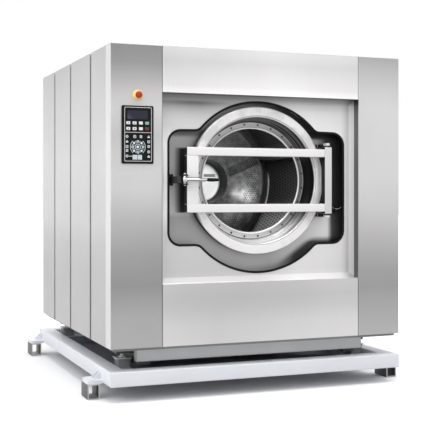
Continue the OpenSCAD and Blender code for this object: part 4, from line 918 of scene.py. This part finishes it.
# Drum: polished stainless with staggered rows of small holes in its wall, a dished back with
# three pressed arms round the hub's pot, and three lifting ribs. It turns behind the glass.
HOLE_ROW, WALL_HOLES, BACK_HOLES = 0.866, (0.021, 0.0054), (0.017, 0.0040)


def holes(a, b, pitch, radius):
    """1 inside round holes of a flat pattern given by two lengths in metres, else 0. Rows lie
    HOLE_ROW pitches apart and every other one is shifted by half a pitch."""
    row = calc("DIVIDE", b, pitch * HOLE_ROW)
    shifted = calc("ADD", calc("DIVIDE", a, pitch), times(calc("FLOOR", row), 0.5))
    u = calc("SUBTRACT", calc("FRACT", shifted), 0.5)
    v = times(calc("SUBTRACT", calc("FRACT", row), 0.5), HOLE_ROW)
    far = vector("LENGTH", joined(u, v))
    return ranged(far, 1.0, 0.0, radius / pitch - 0.03, radius / pitch + 0.03)


def shell_holes_and_painted_light():
    """Holes are dark dots in rows round the wall. The wall is painted lighter below, and a painted highlight
    lies along its back edge on the right."""
    angle, away, deep = polar()
    dots = ranged(holes(times(angle, 0.52), times(deep, 0.42), *WALL_HOLES), 1.0, 0.12, 0.0, 1.0)
    low = along(2, [(430, 0.34), (700, 0.30), (770, 0.10), (840, 0.040), (1480, 0.032)])
    # painted highlight along the back edge on the right
    edge = blended(between(angle, -0.36, -0.28, 0.02, 0.16, True), 1.0, ranged(deep, 1.0, 22.0, 0.070, 0.078))
    return times(dots, low, edge)


def painted_light_pool(x, z, wide, tall, level):
    """A painted pool of light on the back: a soft round patch whose value at the middle falls to 0 at the
    reach.
    """
    off = vector("SUBTRACT", where, placed([x, 927, z]).tolist())
    off = vector("MULTIPLY", off, (1000 / wide, 0.0, 1000 / tall))
    return ranged(vector("LENGTH", off), level, 0.0, 0.0, 1.0, True)


def back_painted_light():
    """Painted light throughout: the pot's floor is polished bright, with a painted reflection of the latch
    grip across it and painted shade round its edge, and its wall is painted dark for the shade it lies in.
    Painted pools of light make the plate lightest at the lower right of the pot; the plate is darker low down
    and its pressed arms are darker. Rows of small holes ring it."""
    angle, away, deep = polar()
    x, y, z = parts(where)
    cloud = ranged(patterned((26, 26, 26), 4, 0.65), 0.45, 1.50)
    light = 0.045
    # painted pools of light on the plate
    for patch in ((232, 876, 85, 62, 0.42), (300, 858, 85, 80, 0.50), (290, 900, 230, 260, 0.14),
                  (150, 735, 150, 120, 0.12)):
        light = calc("ADD", painted_light_pool(*patch), light)
    low = along(2, [(430, 0.5), (700, 0.9), (800, 1.0)])
    dots = times(holes(x, z, *BACK_HOLES), between(away, 0.292, 0.296, 0.392, 0.396))
    behind = ranged(deep, 0.50, 1.0, -0.063, -0.057)
    plate = times(light, cloud, low, ranged(dots, 1.0, 0.35, 0.0, 1.0), behind)
    # painted reflection of the latch grip on the pot's floor
    grip_reflection = times(between(x, 0.018, 0.024, 0.102, 0.112), between(z, 1.297, 1.302, 1.318, 1.323))
    bottom = times(0.78, ranged(grip_reflection, 1.0, 0.24, 0.0, 1.0), ranged(away, 1.0, 0.10, 0.118, 0.140, True))
    # painted shade on the pot's wall
    pot_wall_painted_shade = ranged(deep, 0.04, 0.004, -0.056, -0.040)
    pot = blended(ranged(deep, 0.0, 1.0, 0.062, 0.066), pot_wall_painted_shade, bottom)
    return blended(ranged(away, 1.0, 0.0, 0.1475, 0.1500), plate, pot)


def smooth_step(v, a, b):
    """0 at a and 1 at b, with a cubic between."""
    part = np.clip((v - a) / (b - a), 0, 1)
    return part ** 2 * (3 - 2 * part)


def pressed_back(turns=480):
    """Radius and angle: the depth follows the pot's floor, its slightly tapered wall and rolled rim,
    the flat, and the cone out to the wall, then comes back behind the sheet. Three arms stand
    forward: a smooth step of the distance from the arm's middle line times steps at its ends."""
    flat = list(np.linspace(158, 404, 36))
    front = [(0.5, 1053.5), (60, 1053.5), (118, 1053.5), (132, 1052), (139, 1047), (141, 1040), (146, 936),
             (147.6, 930.5), (151, 927.6)]
    front += [(r, 927) for r in flat] + [(409, 927.6), (414, 931), (519.4, 1084)]
    back = [(524, 1085), (524, 1089.8), (516, 1089.8), (407, 933.4), (402, 931.4)]
    back += [(r, 931.4) for r in flat[::-1]] + [(152, 936), (151, 1040), (146, 1056), (138, 1059.4)]
    back += [(60, 1059.6), (0.5, 1059.6)]
    t = np.linspace(0, 2 * np.pi, turns, endpoint=False)[:, None]
    r, y = np.array(front + back).T
    y = np.broadcast_to(y, (turns, len(y))).copy()
    for k in range(3):
        turn = t - math.radians(23 + 120 * k)
        arm = smooth_step(np.abs(r * np.sin(turn)), 36, 24) * (np.cos(turn) > 0)
        y -= 8.6 * arm * smooth_step(r, 158, 172) * smooth_step(r, 404, 388) * (np.abs(y - 929) < 4)
    return skin(np.stack([r * np.cos(t), y, AXIS_Z + r * np.sin(t)], -1), True, False, True)


WORN = dict(scratch=0.004, shine=0.1)
dress(steel("drum_steel", shell_holes_and_painted_light, 0.40, 0.2, turned_grain, 0.04, 0.05, **WORN), "drum_shell")
dress(steel("drum_rib_steel", 0.05, 0.36, 0.5, (60, 60, 60), 0.04, 0.05, shine=0.1), "drum_lifters")
back_steel = steel("drum_back_steel", back_painted_light, 0.38, 0.12, turned_grain, 0.05, 0.05, **WORN)
piece("drum_back_pressing", [pressed_back()], back_steel, "drum", ["drum_back"])
dress(tub_back_steel, "drum_shaft", "shaft_bearings")

# Drive and control box, not seen from the front: painted castings for the pulleys and the bearing
# housing, ribbed rubber belts, a blue-grey motor and a grey enamelled box.
cast = enamel("painted_casting", (0.09, 0.095, 0.10), 0.5, 0.3, 0.2)
dress(cast, "drum_pulley", "motor_pulley", "bearing_housing")
dress(black_rubber, "drive_belts")
dress(enamel("motor_enamel", (0.05, 0.09, 0.14), 0.4, 0.1, 0.1), "motor")
dress(enamel("box_enamel", (0.36, 0.38, 0.40), 0.40, 0.06, 0.08), "control_box")

# Control panel: a black moulded plate with a silver line round it, a display behind a dark window,
# eight caps in two rows and a printed lower field of plain signs round a programme dial.
dress(black_plastic, "control_bezel")


def display_painted_reflection():
    """A painted reflection: a soft slanting band of light over the upper left of the dark window."""
    return ranged(vector("DOT_PRODUCT", where, (0.72, 0.0, 0.70)), 2.2, 0.8, 0.532, 0.560, True)


dress(enamel("display_window", (0.022, 0.023, 0.038), 0.16, 0.0, 0.02, tone=display_painted_reflection, shine=0.3),
      "display")
white_key = enamel("white_key_caps", (0.66, 0.66, 0.66), 0.45, 0.01, 0.05)
dress(white_key, "key_1", "key_2", "key_3", "key_5", "key_6", "key_7")
dress(enamel("green_key_cap", (0.20, 0.38, 0.30), 0.45, 0.02, 0.05), "key_4")
dress(enamel("red_key_cap", (0.13, 0.024, 0.024), 0.45, 0.02, 0.05), "key_8")

PANEL_X, PANEL_FACE = -775.5, -6.0
KEY_PITCH, KEY_Z, KEY_FACE = 36.8, 1258.0, -7.5
SUNK, COAT = 0.02, 0.25


def print_on(outline, face=PANEL_FACE):
    """A printed patch: a flat outline of x and z raised by a coat's thickness from the panel."""
    return lofted([outline, outline], [face + SUNK, face - COAT], 1)


def band(outer, inner):
    """A printed line that closes on itself: the area between an outer and an inner outline with
    equal numbers of points."""
    low, high = PANEL_FACE + SUNK, PANEL_FACE - COAT
    return lofted([outer, outer, inner, inner], [low, high, high, low], 1, True)


def disc(x, z, r, sides=20):
    """The outline of a disc."""
    t = np.linspace(0, 2 * np.pi, sides, endpoint=False)
    return np.column_stack([x + r * np.cos(t), z + r * np.sin(t)])


silver = enamel("silver_print", (0.52, 0.52, 0.52), 0.4, 0.01, 0.03, 0.4)
LINE_X0, LINE_X1, LINE_Z0, LINE_Z1, LINE_W = -853.8, -692.4, 1056.7, 1363.7, 3.6
inside = (LINE_X0 + LINE_W, LINE_Z0 + LINE_W, LINE_X1 - LINE_W, LINE_Z1 - LINE_W)
lines = [band(oblong(LINE_X0, LINE_Z0, LINE_X1, LINE_Z1, 7), oblong(*inside, 5)),
         print_on(oblong(inside[0], 1219, inside[2], 1222.6, 0.6))]
piece("panel_lines", lines, silver, "machine")

dark_print = enamel("dark_print", (0.09, 0.09, 0.10), 0.5, 0.01, 0.05)
for number, shape in ((1, "up"), (2, "up"), (5, "down"), (6, "square")):
    x, z = PANEL_X + ((number - 1) % 4 - 1.5) * KEY_PITCH, KEY_Z + (16 if number < 5 else -16)
    tip = 4.5 if shape == "up" else -4.5
    mark = [(x - 4.5, z - tip * 0.7), (x + 4.5, z - tip * 0.7), (x, z + tip)][::1 if shape == "up" else -1]
    mark = centred(x, z, 3.4, 3.4, 0.6) if shape == "square" else mark
    piece(f"key_{number}_mark", [print_on(mark, KEY_FACE)], dark_print, f"key_{number}_cap")

signs = []
DIAL_X, DIAL_Z, DOTS_R = -775.0, 1139.0, 31
icons = [(-838.5, z) for z in (1197, 1169, 1140, 1118, 1087)]
icons += [(-710.7, z) for z in (1197, 1169, 1142, 1112, 1086)] + [(-793.0, 1197), (-756.5, 1197)]
for number, (x, z) in enumerate(icons):
    kind = number % 4
    if kind == 0:
        signs += [band(disc(x, z, 8.2), disc(x, z, 5.2)), print_on(disc(x, z, 2.8, 12))]
    elif kind == 1:
        signs += [print_on(centred(x, z - 3, 7.5, 3.5, 1.5)),
                  print_on([(x - 5, z + 2.5), (x + 5, z + 2.5), (x, z + 8)])]
    elif kind == 2:
        signs += [band(centred(x, z, 7.8, 7.8, 2.5), centred(x, z, 5, 5, 1.2)), print_on(disc(x, z, 2.6, 12))]
    else:
        signs += [print_on(centred(x, z + level, 7.5, 1.7, 1)) for level in (-5.5, 0, 5.5)]
for k in range(8):
    a = k * math.pi / 4
    x, z = DIAL_X + DOTS_R * math.cos(a), DIAL_Z + DOTS_R * math.sin(a)
    signs.append(print_on(disc(x, z, 6.6, 14)) if k % 2 else band(disc(x, z, 7.2, 14), disc(x, z, 3.4, 14)))
    a += math.pi / 8
    ray = [(DIAL_X + q * math.cos(a + wide), DIAL_Z + q * math.sin(a + wide))
           for q, wide in ((21, 0.05), (37, 0.03), (37, -0.03), (21, -0.05))]
    signs.append(print_on(ray))
signs += [band(disc(DIAL_X, DIAL_Z, 17.5, 28), disc(DIAL_X, DIAL_Z, 14.5, 28)),
          print_on(disc(DIAL_X, DIAL_Z, 8))]
for start in (-50, 130):
    a = np.radians(np.linspace(start, start + 100, 14))
    arc = [(DIAL_X + q * math.cos(k), DIAL_Z + q * math.sin(k))
           for q, order in ((45.3, a), (42.7, a[::-1])) for k in order]
    signs.append(print_on(arc))
for x in [x0 + k * 6.7 for x0 in (-805, -776) for k in range(4)]:
    signs.append(print_on(oblong(x, 1067, x + 5.4, 1094, 0.5)))
signs.append(print_on(oblong(-828, 1084.5, -806, 1087.5, 0.5)))
white_print = enamel("white_print", (0.62, 0.68, 0.72), 0.45, 0.01, 0.05)
piece("panel_signs", signs, white_print, "machine")

# Emergency stop: a red mushroom head over a yellow ring, above the control panel. Both are moulded
# plastic and keep the shape of the plain solids.


def yellow_painted_light():
    """Painted light: lightest at the upper left, darker below."""
    return ranged(vector("DOT_PRODUCT", where, (0.75, 0.0, -0.66)), 1.12, 0.72, -1.765, -1.700, True)


dress(enamel("yellow_ring_plastic", (0.88, 0.68, 0.20), 0.4, 0.01, 0.03, tone=yellow_painted_light), "estop_ring")
dress(enamel("red_mushroom_plastic", (0.36, 0.018, 0.012), 0.28, 0.01, 0.05), "estop_button")

# Plumbing at the rear: brass water valves and the moulded grey drain line. Both keep the shape of
# the plain solids.
dress(enamel("valve_brass", (0.50, 0.38, 0.17), 0.35, 0.02, 0.1, 0.9), "water_valves")
dress(enamel("drain_plastic", (0.17, 0.18, 0.19), 0.5, 0.05, 0.1), "drain_line")
